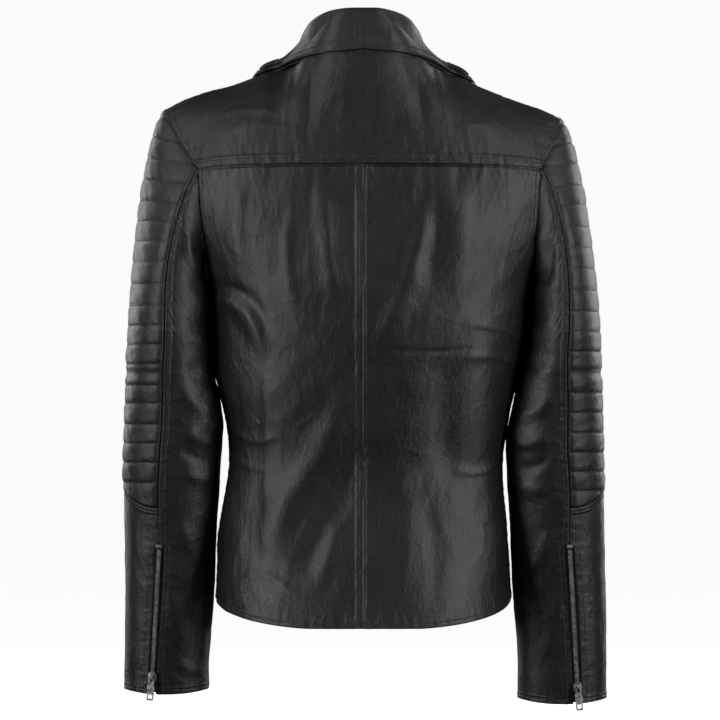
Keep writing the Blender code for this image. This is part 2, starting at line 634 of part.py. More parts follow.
# snap caps on lapel and collar tips
def snap(name, at, normal, radius=6.5):
    ring = [(radius * math.cos(k * math.pi / 10), radius * math.sin(k * math.pi / 10))
            for k in range(20)]
    mesh = outline_mesh(name, ring, 0, 2.2)
    obj = add(name, mesh, "metal", placed(at, (1, 0, 0.1), normal), smooth=False)
    bevel = obj.modifiers.new("edge", "BEVEL")
    bevel.width = 0.8 * MM
    bevel.segments = 1
    bevel.limit_method = "ANGLE"
    return obj


for side_name, side in SIDES.items():
    x, z = BREAK[0] * 0.25 + GORGE[side][0] * 0.75 + side * 62, -142.0
    snap("lapel_snap_" + side_name, (x, float(front_y(x, z)) - 5.6, z), (side * 0.32, -1, 0.12))

# sleeves
for side_name, side in SIDES.items():
    head_rows = np.linspace(HEAD_Z + 200, HEAD_Z, 9)
    upper_rows = np.concatenate([head_rows, np.linspace(HEAD_Z, ELBOW_Z + ELBOW_HALF, 5)[1:]])
    elbow_rows = np.linspace(ELBOW_Z + ELBOW_HALF - 0.4, ELBOW_Z - ELBOW_HALF + 0.4, 5)
    cuff = CUFF_Z[side]
    split = QUILT_END_Z

    def strip(rows, first, last, columns, gap=0.007):
        share = np.linspace(gap, 1 - gap, columns)[None, :]
        first, last = first(rows)[:, None], last(rows)[:, None]
        return sleeve(first + (last - first) * share, rows[:, None], side)

    def zip_half(rows):
        return np.where(rows < CUFF_ZIP_TOP_Z + 8, np.radians(5.2), 0)

    def round_seam(rows):
        return 2 * math.pi + front_seam_turn(rows)

    def shell_side(name, rows, first, last, columns, kind):
        return shell(name, strip(rows, first, last, columns), kind, outward=-side)

    shell_side("sleeve_quilt_upper_" + side_name, upper_rows, front_seam_turn, seam_turn, 12, "quilt")
    shell_side("sleeve_under_upper_" + side_name, upper_rows, seam_turn, round_seam, 11, "leather")
    turns = np.linspace(0, 2 * math.pi, 21)[None, :-1]
    shell("elbow_section_" + side_name, sleeve(turns, elbow_rows[:, None], side), "quilt",
          outward=-side, wrap=True)
    low_rows = np.linspace(ELBOW_Z - ELBOW_HALF, split + 0.2, 3)
    shell_side("sleeve_quilt_lower_" + side_name, low_rows, front_seam_turn, seam_turn, 12, "quilt")
    arm_rows = np.concatenate([[split - 0.2, -505, -524], np.linspace(-526, cuff, 8)])
    shell_side("forearm_outer_" + side_name, arm_rows, front_seam_turn,
               lambda r: seam_turn(r) - zip_half(r), 12, "leather")
    under_rows = np.concatenate([np.linspace(ELBOW_Z - ELBOW_HALF, split, 3), arm_rows[1:]])
    shell_side("forearm_under_" + side_name, under_rows, lambda r: seam_turn(r) + zip_half(r),
               round_seam, 11, "leather")
    rows = np.concatenate([head_rows[1:], np.linspace(HEAD_Z, ELBOW_Z + ELBOW_HALF, 4)[1:]])
    lining_turns = np.linspace(0, 2 * math.pi, 17)[None, :-1]
    shell("sleeve_lining_upper_" + side_name, sleeve(lining_turns, rows[:, None], side), "lining",
          LINING_OFFSET, LINING, -side, True)
    rows = np.linspace(ELBOW_Z - ELBOW_HALF, cuff + 14, 6)
    shell("sleeve_lining_lower_" + side_name, sleeve(lining_turns, rows[:, None], side), "lining",
          LINING_OFFSET, LINING, -side, True)
    # cuff zip
    top, low = CUFF_ZIP_TOP_Z, cuff + 12.0

    def on_seam(t, aside=0.0, low=low, top=top, side=side):
        z = low + (top - low) * t
        return sleeve(seam_turn(z) + aside / 45, z, side)

    across = Vector(on_seam(0.5, 3) - on_seam(0.5))
    away = across.cross(Vector(on_seam(1.0) - on_seam(0.0)))
    cuff_zip, length = zip_line(on_seam, away if away.y > 0 else -away, 4)
    teeth("cuff_zip_teeth_" + side_name, cuff_zip, length, 10.0)
    stop_block("cuff_zip_stop_" + side_name, cuff_zip, length + 1.4)
    rows = np.linspace(cuff + 2, top + 12, 8)
    share = np.linspace(-0.22, 0.22, 5)[None, :]
    shell("cuff_zip_tape_" + side_name, sleeve(seam_turn(rows)[:, None] + share, rows[:, None], side),
          "tape", 3.1, 0.6, side)
    made = slider("cuff_zip_slider_" + side_name, cuff_zip @ Matrix.Translation((0.006, 0, 0)))
    puller("cuff_zip_puller_" + side_name, cuff_zip @ Matrix.Translation((0.006, 0, 0)), made)

# joint origins: lapel roll lines, shoulder tips and elbows
bpy.context.view_layer.update()
for side_name, side in SIDES.items():
    fold = empty("lapel_joint_" + side_name, LAPEL_FOLD[side][0])
    for part in ("lapel_", "lapel_snap_"):
        attach(bpy.data.objects[part + side_name], fold)
for side_name, side in SIDES.items():
    tip = TOP_EDGE[side](1.0)
    shoulder = empty("shoulder_joint_" + side_name, tip + np.array([side * -9.0, 0, 3.0]))
    elbow = empty("elbow_joint_" + side_name, (side * 206, -8, ELBOW_Z))
    attach(elbow, shoulder)
    for part in list(bpy.data.objects):
        if part.parent is not None or part.hide_render or not part.name.endswith("_" + side_name):
            continue
        if part.name.startswith(("sleeve_quilt_upper", "sleeve_under_upper", "elbow_section",
                                 "sleeve_lining_upper")):
            attach(part, shoulder)
        elif part.name.startswith(("sleeve_quilt_lower", "forearm", "sleeve_lining_lower", "cuff_zip")):
            attach(part, elbow)
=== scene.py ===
"""Looks of the leather riding jacket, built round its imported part.

Front towards -Y, wearer's left towards +X, +Z up. Lengths are in millimetres until a mesh is made.
"""

import math

import bmesh
import bpy
import numpy as np
from mathutils import Matrix, Vector


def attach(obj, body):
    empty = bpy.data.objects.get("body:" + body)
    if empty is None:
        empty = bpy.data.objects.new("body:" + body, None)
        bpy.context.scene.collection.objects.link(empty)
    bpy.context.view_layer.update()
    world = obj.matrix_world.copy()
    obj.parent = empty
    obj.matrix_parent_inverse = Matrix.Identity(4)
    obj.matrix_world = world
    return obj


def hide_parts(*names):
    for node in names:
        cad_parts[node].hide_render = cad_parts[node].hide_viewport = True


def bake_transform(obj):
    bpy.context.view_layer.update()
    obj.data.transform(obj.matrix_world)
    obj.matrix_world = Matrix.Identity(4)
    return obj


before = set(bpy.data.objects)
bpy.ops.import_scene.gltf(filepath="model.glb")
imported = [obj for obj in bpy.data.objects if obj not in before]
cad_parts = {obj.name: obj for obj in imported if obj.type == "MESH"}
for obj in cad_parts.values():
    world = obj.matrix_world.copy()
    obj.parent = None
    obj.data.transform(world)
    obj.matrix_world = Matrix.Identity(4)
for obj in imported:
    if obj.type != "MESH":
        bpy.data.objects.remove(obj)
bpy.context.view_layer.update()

MM = 0.001
LEATHER = 1.5
LINING_OFFSET = 8.4
YOKE_Z = -120.0
HEM_Z = -617.0
UNDERARM_Z = -253.0
TORSO_Y = -6.0
ROUND_BACK, ROUND_FRONT, ROUND_SLEEVE = 2.4, 2.7, 2.2
HEAD_Z = -300.0
HEAD_ROWS = 200.0      # rows from the armhole down to where the sleeve is a tube
SHOULDER_END = -345.0   # the upper sleeve panels end here and the elbow panels start
ELBOW_END = -487.0      # quilt ends, and below it the sleeve follows the forearm alone
ELBOW_RAMP = (-392.0, -448.0)
CUFF_Z = {1: -686.0, -1: -696.0}
CUFF_ZIP_TOP_Z = -533.0
ZIP_TEETH_WIDTH = 4.4
ZIP_TEETH_HEIGHT = 2.2
SIDES = {"left": 1, "right": -1}


# ---------------------------------------------------------------- surfaces, as the part has them
def spline(*points):
    """A smooth function through (at, value) points, constant past its ends."""
    at, value = (np.array(row, float) for row in zip(*sorted(points)))
    slope = np.gradient(value, at)

    def curve(q):
        q = np.asarray(q, float)
        i = np.clip(np.searchsorted(at, q) - 1, 0, len(at) - 2)
        step = at[i + 1] - at[i]
        t = np.clip((q - at[i]) / step, 0, 1)
        rise = value[i + 1] - value[i]
        return value[i] + t * step * slope[i] + t * t * (
            3 * rise - step * (2 * slope[i] + slope[i + 1])
        ) + t * t * t * (step * (slope[i] + slope[i + 1]) - 2 * rise)

    return curve


def path(*points):
    """A smooth function from a parameter to a point in space, from (at, x, y, z) rows."""
    axes = [spline(*((row[0], row[k]) for row in points)) for k in (1, 2, 3)]
    return lambda q: np.stack([axis(q) for axis in axes], axis=-1)


HALF_WIDTH = {
    1: spline((-617, 159), (-584, 159), (-560, 158), (-514, 155.5), (-482, 150.5), (-451, 145.5),
              (-425, 144.5), (-390, 149.5), (-370, 155), (-335, 162), (-287, 165), (-253, 168.5),
              (-235, 175), (-215, 184), (-190, 195), (-160, 206), (-115, 215)),
    -1: spline((-617, 158.5), (-584, 158), (-560, 156), (-514, 151.5), (-482, 148), (-451, 146),
               (-400, 154), (-350, 165), (-300, 177), (-253, 184), (-235, 190), (-215, 199),
               (-190, 209), (-160, 219), (-115, 230)),
}
DEPTH = {
    1: spline((-617, 107), (-560, 99), (-514, 92), (-480, 89), (-440, 90), (-400, 97), (-350, 106),
              (-300, 113), (-253, 116), (-215, 116), (-190, 115), (-160, 112), (-115, 103)),
    -1: spline((-617, 106), (-514, 108.5), (-400, 111.5), (-300, 114), (-228, 116), (-190, 113),
               (-160, 108), (-115, 94)),
}
ARMHOLE_DEPTH = {
    1: spline((-253, 0), (-249, 20), (-240, 37), (-225, 50), (-205, 60), (-180, 67), (-150, 70),
              (-115, 67)),
    -1: spline((-253, 0), (-249, 20), (-240, 36), (-225, 48), (-205, 56), (-180, 60), (-150, 59),
               (-115, 52)),
}
TOP_EDGE = {
    1: path((0, 0, 58, 10), (.1, 23, 56, 9), (.2, 45, 47, 6), (.3, 65, 25, -1), (.36, 76, -2, -9),
            (.5, 107, -1, -23), (.66, 141, 0, -35.5), (.8, 170, 1, -43), (.92, 197, 2, -53),
            (1, 213, 3, -62)),
    -1: path((0, 0, 58, 10), (.1, -23, 56, 9), (.2, -45, 47, 6), (.3, -65, 25, -2),
             (.36, -76, -2, -11), (.5, -107, -1, -29), (.66, -141, 0, -44), (.8, -168, 1, -54),
             (.92, -194, 2, -63), (1, -210, 3, -71)),
}
NECK_Q = 0.36
BREAK = (45.0, -228.0)
ZIP_FOOT = (-20.0, -611.0)
GORGE = {1: (58.0, -98.0), -1: (-58.0, -98.0)}


def torso_at(angle, z, face):
    n = ROUND_BACK if face > 0 else ROUND_FRONT
    wide = np.where(angle >= 0, HALF_WIDTH[1](z), HALF_WIDTH[-1](z))
    x = np.sign(angle) * wide * np.abs(np.sin(angle)) ** (2 / n)
    y = TORSO_Y + face * DEPTH[face](z) * np.maximum(np.cos(angle), 0) ** (2 / n)
    return np.stack(np.broadcast_arrays(x, y, z), axis=-1)


def armhole_angle(z, face):
    n = ROUND_BACK if face > 0 else ROUND_FRONT
    share = np.clip(ARMHOLE_DEPTH[face](z) / DEPTH[face](z), 0, 1)
    return np.where(z >= UNDERARM_Z, np.arccos(share ** (n / 2)), math.pi / 2)


def angle_of(x, z, face):
    n = ROUND_BACK if face > 0 else ROUND_FRONT
    wide = np.where(x >= 0, HALF_WIDTH[1](z), HALF_WIDTH[-1](z))
    return np.sign(x) * np.arcsin(np.clip(np.abs(x) / wide, 0, 1) ** (n / 2))


def hermite(a, ta, b, tb, t):
    t = np.asarray(t, float)[..., None]
    return (
        a * (1 + 2 * t) * (1 - t) ** 2 + ta * t * (1 - t) ** 2
        + b * t * t * (3 - 2 * t) + tb * t * t * (t - 1)
    )


def over_shoulder(q, row, low, top, face, neck):
    """From the level of the yoke seam, up and over to the shoulder ridge or neckline."""
    t = np.clip((row - YOKE_Z) / (-15 - YOKE_Z), 0, 1)
    length = np.linalg.norm(top - low, axis=-1, keepdims=True)
    side = np.sign(top[..., :1] + 1e-9)
    out = np.abs(q)[..., None] ** 3
    start = np.concatenate([side * 0.55 * out, -face * (0.12 + 0.5 * out), 1 - 0.35 * out], -1)
    neck = neck[..., None]
    end = np.concatenate([side * 0.0 * out, -face * (0.95 - 0.6 * neck), 0.12 + 0.8 * neck], -1)
    return hermite(low, start * length * 1.05, top, end * length * 0.9, t)


def hem_lift(q, z, start):
    """The hem rises towards the side seams."""
    side = np.clip((np.abs(q) - start) / (1 - start), 0, 1) ** 1.4
    return 30 * side * np.clip((-470 - z) / 147, 0, 1) ** 1.6


def back(q, row):
    """Back surface: q from -1 (right) to 1 (left), row from the hem up, past YOKE_Z over the top."""
    q, row = np.broadcast_arrays(np.asarray(q, float), np.asarray(row, float))
    z = np.minimum(row, YOKE_Z)
    dip = 5 * np.abs(q) ** 3 * np.clip(1 - (YOKE_Z - z) / 80, 0, 1)
    z = z - dip + hem_lift(q, z, 0.2)
    low = torso_at(q * armhole_angle(z, 1), z, 1)
    a = np.abs(q)
    top = np.where((q >= 0)[..., None], TOP_EDGE[1](a), TOP_EDGE[-1](a))
    up = over_shoulder(q, row, low, top, 1, np.clip((NECK_Q - a) / 0.12, 0, 1))
    return np.where((row > YOKE_Z)[..., None], up, low)


def front_inner_x(z, side):
    """Where a front panel ends towards the middle: the zip, then the lapel's roll line."""
    (bx, bz), (fx, fz), (gx, gz) = BREAK, ZIP_FOOT, GORGE[side]
    zipped = fx + (bx - fx) * (z - fz) / (bz - fz) + side * 3.3
    opened = bx + side * 3.3 + (gx - bx - side * 3.3) * np.clip((z - bz) / (gz - bz), 0, 1)
    return np.where(z < bz, zipped, opened)


def front(q, row, side):
    """Front surface of one side: q from 0 at the zip to 1 at the side seam or armhole."""
    q, row = np.broadcast_arrays(np.asarray(q, float), np.asarray(row, float))
    z = np.minimum(row, YOKE_Z)
    z = z + hem_lift(q, z, 0.0)
    first = angle_of(front_inner_x(z, side), z, -1)
    last = side * armhole_angle(z, -1)
    low = torso_at(first + (last - first) * q, z, -1)
    top = TOP_EDGE[side](NECK_Q + (1 - NECK_Q) * q)
    up = over_shoulder(q, row, low, top, -1, np.zeros_like(q))
    return np.where((row > YOKE_Z)[..., None], up, low)


def front_y(x, z):
    n = ROUND_FRONT
    wide = np.where(x >= 0, HALF_WIDTH[1](z), HALF_WIDTH[-1](z))
    share = np.clip(1 - np.clip(np.abs(x) / wide, 0, 1) ** n, 0, 1)
    return TORSO_Y - DEPTH[-1](z) * share ** (1 / n)


SLEEVE_OUT = {
    1: spline((-690, 259), (-600, 257), (-500, 258), (-430, 258), (-380, 256), (-330, 254.5),
              (-300, 253)),
    -1: spline((-696, 262), (-600, 261), (-500, 259), (-430, 257), (-380, 256), (-330, 254),
               (-300, 253)),
}
SLEEVE_IN = {
    1: spline((-690, 168), (-644, 167), (-617, 164.5), (-584, 162), (-514, 158.5), (-482, 156),
              (-432, 153), (-410, 152), (-380, 155.5), (-335, 164.5), (-300, 167.5)),
    -1: spline((-696, 166), (-640, 165.5), (-587, 161.5), (-510, 157), (-450, 153.5), (-420, 153.5),
               (-400, 157.5), (-350, 168), (-300, 180)),
}
SLEEVE_Y = spline((-696, -42), (-600, -29), (-533, -20), (-480, -13), (-430, -8), (-385, -6),
                  (-300, -4))
SLEEVE_DEEP = spline((-696, 36), (-600, 40), (-533, 45), (-480, 50), (-430, 56), (-385, 62),
                     (-340, 70), (-300, 77))


def tube_at(turn, z, side):
    """Point of the sleeve tube: turn 0 is outermost, a quarter is the back, a half is inside."""
    out, inner = SLEEVE_OUT[side](z), SLEEVE_IN[side](z)
    c, s = np.cos(turn), np.sin(turn)
    x = (out + inner) / 2 + (out - inner) / 2 * np.sign(c) * np.abs(c) ** (2 / ROUND_SLEEVE)
    y = SLEEVE_Y(z) + SLEEVE_DEEP(z) * np.sign(s) * np.abs(s) ** (2 / ROUND_SLEEVE)
    return np.stack(np.broadcast_arrays(side * x, y, z), axis=-1)


def armhole_loop(side):
    """The armhole as a function of the turn around it, 0 at the shoulder tip, to the back first."""
    rows = np.concatenate([np.linspace(UNDERARM_Z, YOKE_Z, 40), np.linspace(YOKE_Z, -15, 20)[1:]])
    loop = np.concatenate([back(side * 1.0, rows)[::-1], front(1.0, rows, side)])
    turn = np.unwrap(np.arctan2(loop[:, 1] + 3, loop[:, 2] + 158))
    turn = np.concatenate([turn - 2 * math.pi, turn, turn + 2 * math.pi])
    loop = np.concatenate([loop, loop, loop])
    order = np.argsort(turn)
    return lambda q: np.stack([np.interp(q, turn[order], loop[order, k]) for k in range(3)], -1)


ARMHOLE = {side: armhole_loop(side) for side in SIDES.values()}


def sleeve(turn, row, side):
    """Sleeve surface: row HEAD_Z + HEAD_ROWS is the armhole, HEAD_Z the start of the tube, then z."""
    turn, row = np.broadcast_arrays(np.asarray(turn, float), np.asarray(row, float))
    dip = 5.5 * np.sin(turn) ** 2 * np.clip((-600 - row) / 90, 0, 1) ** 1.5
    low = tube_at(turn, np.minimum(row, HEAD_Z) - dip, side)
    hole = ARMHOLE[side](turn)
    t = np.clip((HEAD_Z + HEAD_ROWS - row) / HEAD_ROWS, 0, 1)
    length = np.linalg.norm(low - hole, axis=-1)
    down = (1 - np.cos(turn)) / 2
    tip = (1 - down) ** 6
    leave = np.stack([side * (0.72 - 0.45 * down - 0.40 * tip), 0.42 * np.sin(turn),
                      -0.62 - 0.35 * down + 0.32 * tip], -1)
    arrive = np.stack([side * 0.04 * np.cos(turn), 0 * turn, -np.ones_like(turn)], -1)
    head = hermite(hole - leave * 1.2, leave * length[..., None] * 0.95, low,
                   arrive * (length * (1.05 - 0.45 * tip))[..., None], t)
    return np.where((row > HEAD_Z)[..., None], head, low)


def seam_turn(row):
    """Turn of the quilted panel's back seam; its front seam lies opposite."""
    return np.radians(spline((-696, 73), (-600, 76), (-533, 79), (-482, 77), (-430, 78),
                             (-383, 81), (-300, 88), (-200, 80), (-100, 63))(row))


def front_seam_turn(row):
    return -np.radians(spline((-696, 80), (-482, 82), (-300, 88), (-200, 82), (-100, 66))(row))


def round_seam_turn(row):
    return 2 * math.pi + front_seam_turn(row)


# ---------------------------------------------------------------- creases, waves and stitch grooves
def smooth(t):
    t = np.clip(t, 0, 1)
    return t * t * (3 - 2 * t)


def waves(seed, scales, *axes):
    """Soft even noise, about -1 to 1: sines of the given lengths in mm in random directions."""
    random = np.random.default_rng(seed)
    total = 0
    for scale in scales:
        turn = random.normal(size=len(axes))
        turn /= np.linalg.norm(turn)
        phase = random.uniform(0, 6.3)
        total = total + np.sin(sum(a * k for a, k in zip(axes, turn)) * 6.283 / scale + phase)
    return total / len(scales) ** 0.5 / 1.3


def ripple(seed, along, across, shortest=5.5):
    """Noise of short waves along a seam that change slowly away from it."""
    random = np.random.default_rng(seed)
    total = 0
    for k in range(5):
        length = shortest * (1 + 0.45 * k)
        drift = random.uniform(-0.35, 0.35)
        total = total + np.sin((along + drift * across) * 6.283 / length + random.uniform(0, 6.3)
                               + 1.3 * np.sin(along / (17 + 5 * k) + random.uniform(0, 6.3)))
    return total / 2.6


def along_line(points, x, z):
    """Signed distance from a bent line, and how far along it, 0 to 1."""
    at = np.linspace(0, 1, len(points))
    fine = np.linspace(0, 1, 4 * len(points) - 3)
    px, pz = (spline(*zip(at, axis))(fine) for axis in zip(*points))
    nearest = np.full(x.shape, 1e9)
    signed, along = np.zeros(x.shape), np.zeros(x.shape)
    for k in range(len(fine) - 1):
        dx, dz = px[k + 1] - px[k], pz[k + 1] - pz[k]
        t = np.clip(((x - px[k]) * dx + (z - pz[k]) * dz) / (dx * dx + dz * dz), 0, 1)
        ex, ez = x - px[k] - dx * t, z - pz[k] - dz * t
        gap = np.hypot(ex, ez)
        closer = gap < nearest
        nearest = np.where(closer, gap, nearest)
        signed = np.where(closer, gap * np.sign(dx * ez - dz * ex), signed)
        along = np.where(closer, (k + t) / (len(fine) - 1), along)
    return signed, along


def fold(x, z, height, one, other, points):
    """A crease along a line: one and other are its widths to the line's left and right."""
    gap, along = along_line(points, x, z)
    wide = np.where(gap > 0, one, other)
    taper = smooth(along * 3.2) * smooth((1 - along) * 3.2)
    return height * np.exp(-(gap / wide) ** 2) * taper


BACK_FOLDS = [
    (2.6, 10, 8, [(46, -132), (39, -202), (30, -288)]),
    (-1.6, 8, 9, [(17, -140), (14, -205), (8, -280)]),
    (3.2, 15, 11, [(-5, -345), (-39, -267), (-66, -186), (-87, -128)]),
    (-2.4, 9, 10, [(-74, -140), (-74, -200), (-64, -262)]),
    (3.0, 17, 13, [(-100, -128), (-104, -205), (-99, -300)]),
    (4.2, 12, 6, [(168, -266), (142, -268), (118, -290), (104, -336)]),
    (-2.2, 6, 8, [(168, -252), (142, -256), (117, -270), (97, -312)]),
    (2.6, 8, 30, [(104, -318), (101, -420), (104, -580)]),
    (4.4, 15, 15, [(6, -352), (45, -425), (84, -487), (102, -550)]),
    (-3.0, 14, 12, [(-3, -408), (34, -500), (82, -588)]),
    (2.2, 9, 9, [(26, -490), (50, -575)]),
    (3.6, 24, 20, [(-137, -225), (-124, -374), (-139, -500), (-134, -590)]),
    (-2.6, 16, 15, [(-84, -300), (-84, -400), (-96, -480)]),
    (1.6, 5, 5, [(-178, -313), (-146, -298), (-104, -290)]),
    (1.3, 4, 5, [(-172, -336), (-132, -326), (-96, -330)]),
    (-0.8, 3, 3, [(-10, -319), (-70, -322), (-126, -318)]),
    (1.5, 7, 6, [(74, -150), (82, -220), (70, -300)]),
    (2.0, 10, 9, [(130, -130), (136, -190), (126, -250)]),
    (1.8, 12, 14, [(-30, -420), (-48, -500), (-40, -590)]),
    (-1.4, 9, 9, [(-66, -470), (-76, -540), (-70, -605)]),
    (1.4, 5, 6, [(150, -400), (118, -418), (84, -410)]),
    (1.1, 4, 5, [(150, -428), (122, -446), (96, -446)]),
    (1.2, 5, 4, [(-146, -440), (-118, -452), (-90, -446)]),
    (1.0, 4, 5, [(60, -590), (104, -560), (140, -566)]),
]
YOKE_FOLDS = [
    (0.9, 3, 3, [(1, -66), (0, -104)]),
    (2.2, 22, 15, [(60, -40), (104, -66), (160, -100)]),
    (2.2, 15, 22, [(-60, -44), (-108, -70), (-166, -104)]),
    (0.8, 4, 4, [(60, -88), (110, -80), (160, -92)]),
    (0.7, 4, 4, [(70, -74), (120, -64), (170, -72)]),
    (0.7, 4, 4, [(-56, -82), (-104, -84), (-150, -76)]),
    (-1.0, 12, 12, [(34, -50), (30, -104)]),
    (-1.0, 12, 12, [(-36, -50), (-32, -104)]),
]
FRONT_FOLDS = [
    (3.0, 14, 14, [(112, -200), (104, -320), (112, -430)]),
    (-2.0, 12, 12, [(136, -260), (132, -350), (138, -440)]),
    (2.2, 10, 12, [(56, -470), (60, -540), (54, -600)]),
    (2.0, 9, 11, [(150, -272), (120, -292), (84, -300)]),
    (1.8, 8, 8, [(146, -420), (118, -410), (88, -420)]),
    (-1.6, 10, 10, [(84, -240), (70, -330), (64, -420)]),
    (2.0, 12, 12, [(140, -480), (132, -540), (140, -604)]),
    (1.5, 6, 7, [(148, -300), (126, -330), (100, -342)]),
]
SLEEVE_FOLDS = {
    1: [(3.0, 7, 9, [(192, -172), (186, -214), (170, -246)]),
        (-2.6, 6, 7, [(180, -190), (176, -226), (160, -262)]),
        (2.6, 8, 7, [(188, -252), (172, -282), (152, -292)]),
        (2.0, 6, 8, [(190, -300), (172, -316), (154, -318)]),
        (-1.8, 7, 8, [(192, -330), (176, -352), (156, -362)]),
        (2.2, 8, 8, [(200, -352), (184, -376), (160, -392)]),
        (2.4, 7, 8, [(196, -404), (176, -416), (152, -420)]),
        (-1.8, 6, 7, [(198, -424), (180, -436), (154, -440)]),
        (2.0, 7, 7, [(194, -452), (176, -458), (158, -456)]),
        (1.6, 8, 9, [(200, -500), (186, -530), (168, -560)]),
        (1.4, 9, 9, [(214, -560), (202, -610), (186, -650)]),
        (1.2, 6, 7, [(206, -650), (188, -664), (170, -662)])],
    -1: [(3.0, 9, 7, [(-190, -176), (-186, -220), (-182, -252)]),
         (-2.4, 7, 6, [(-198, -196), (-198, -232), (-186, -262)]),
         (2.6, 7, 8, [(-196, -240), (-184, -262), (-172, -262)]),
         (2.2, 8, 6, [(-204, -280), (-190, -300), (-176, -306)]),
         (-1.8, 8, 7, [(-204, -318), (-188, -336), (-170, -346)]),
         (2.2, 8, 8, [(-206, -362), (-186, -384), (-160, -394)]),
         (2.4, 8, 7, [(-202, -408), (-180, -420), (-156, -422)]),
         (-1.8, 7, 6, [(-202, -434), (-182, -446), (-156, -448)]),
         (1.8, 7, 7, [(-200, -466), (-180, -470), (-160, -462)]),
         (1.6, 9, 8, [(-204, -506), (-190, -540), (-172, -566)]),
         (1.4, 9, 9, [(-216, -570), (-204, -620), (-190, -656)])],
}


def folds(rows, x, z):
    return sum(fold(x, z, *row) for row in rows)


def drape(seed, p):
    """What every leather panel has: wide soft lumps and small hide wrinkles."""
    x, y, z = (p[..., k] for k in range(3))
    warp = 9 * waves(seed + 5, (70, 55, 90), x, y, z)
    fine = 1 - np.abs(waves(seed + 1, (23, 31, 17, 27), x + warp, y, z * 0.55 - warp))
    return (0.55 * waves(seed, (120, 85, 64, 150), x, y, z)
            + 0.32 * waves(seed + 2, (34, 27, 41, 22), x + warp, y, z * 0.7)
            + 0.34 * fine ** 4)


class Edge:
    """One side of a panel: how it is turned, raised and stitched, as heights over the surface."""

    def __init__(self, lift=0.0, reach=6.0, corner=0.9, stitches=(), sink=0.35, pucker=0.25, seed=1):
        self.lift, self.reach, self.corner = lift, reach, corner
        self.stitches, self.sink, self.pucker, self.seed = stitches, sink, pucker, seed

    def height(self, gap, along):
        flat = np.clip(1 - gap / self.corner, 0, 1) if self.corner else 0 * gap
        h = self.lift * (1 - smooth((gap - self.reach) / 2.2))
        h = h - self.corner * (1 - np.sqrt(np.maximum(1 - flat ** 2, 0)))
        for at in self.stitches:
            h = h - self.sink * np.exp(-((gap - at) / 0.8) ** 2)
        last = max(self.stitches, default=0.0)
        beyond = np.abs(gap - last)
        return h + self.pucker * np.exp(-beyond / 7) * ripple(self.seed, along, gap)



def lines(length, step=1.8, low=True, high=True):
    """Places of grid lines from 0 to 1 over a length in mm, closer at the sides that are sewn."""
    close = np.array([0, .35, .7, 1.1, 1.5, 2.0, 2.6, 3.2, 3.8, 4.4, 5.0, 5.6, 6.2, 6.8, 7.4, 8.2, 9.2,
                      10.4, 11.8])
    first = close if low else np.array([0.0])
    last = close if high else np.array([0.0])
    middle = np.linspace(first[-1], length - last[-1], max(2, int((length - first[-1] - last[-1]) / step)))
    return np.concatenate([first[:-1], middle, (length - last[::-1])[1:]]) / length


def normals_of(grid):
    normal = np.cross(np.gradient(grid, axis=1), np.gradient(grid, axis=0))
    return normal / np.maximum(np.linalg.norm(normal, axis=-1, keepdims=True), 1e-9)


def lengths_of(grid, axis):
    step = np.linalg.norm(np.diff(grid, axis=axis), axis=-1)
    start = np.zeros_like(step[:, :1] if axis == 1 else step[:1])
    return np.concatenate([start, np.cumsum(step, axis=axis)], axis=axis)


def grid_mesh(name, place, across, along):
    """A grid of rows and columns set on its places, its map in metres of cloth."""
    rows, columns = place.shape[:2]
    made = bmesh.new()
    made.loops.layers.uv.new("UVMap")
    bmesh.ops.create_grid(made, x_segments=columns - 1, y_segments=rows - 1, size=1.0)
    mesh = bpy.data.meshes.new(name)
    made.to_mesh(mesh)
    made.free()
    flat = np.empty(len(mesh.vertices) * 3, np.float32)
    mesh.vertices.foreach_get("co", flat)
    flat = flat.reshape(-1, 3)
    column = np.rint((flat[:, 0] + 1) / 2 * (columns - 1)).astype(int)
    row = np.rint((flat[:, 1] + 1) / 2 * (rows - 1)).astype(int)
    mesh.vertices.foreach_set("co", (place[row, column] * MM).astype(np.float32).ravel())
    corner = np.empty(len(mesh.loops), np.int32)
    mesh.loops.foreach_get("vertex_index", corner)
    cloth = np.stack([across[row, column], along[row, column]], -1)[corner] * MM
    mesh.uv_layers["UVMap"].data.foreach_set("uv", cloth.astype(np.float32).ravel())
    mesh.update()
    return mesh


def add(name, mesh, finish, smooth_faces=True):
    obj = bpy.data.objects.new(name, mesh)
    bpy.context.collection.objects.link(obj)
    mesh.materials.clear()
    mesh.materials.append(finish)
    mesh.polygons.foreach_set("use_smooth", [smooth_faces] * len(mesh.polygons))
    return obj


def settle(obj):
    """Makes the object's modifiers its mesh, shaded smooth but for its cut edges."""
    graph = bpy.context.evaluated_depsgraph_get()
    made = bpy.data.meshes.new_from_object(obj.evaluated_get(graph))
    obj.modifiers.clear()
    obj.data = made
    made.set_sharp_from_angle(angle=math.radians(48))


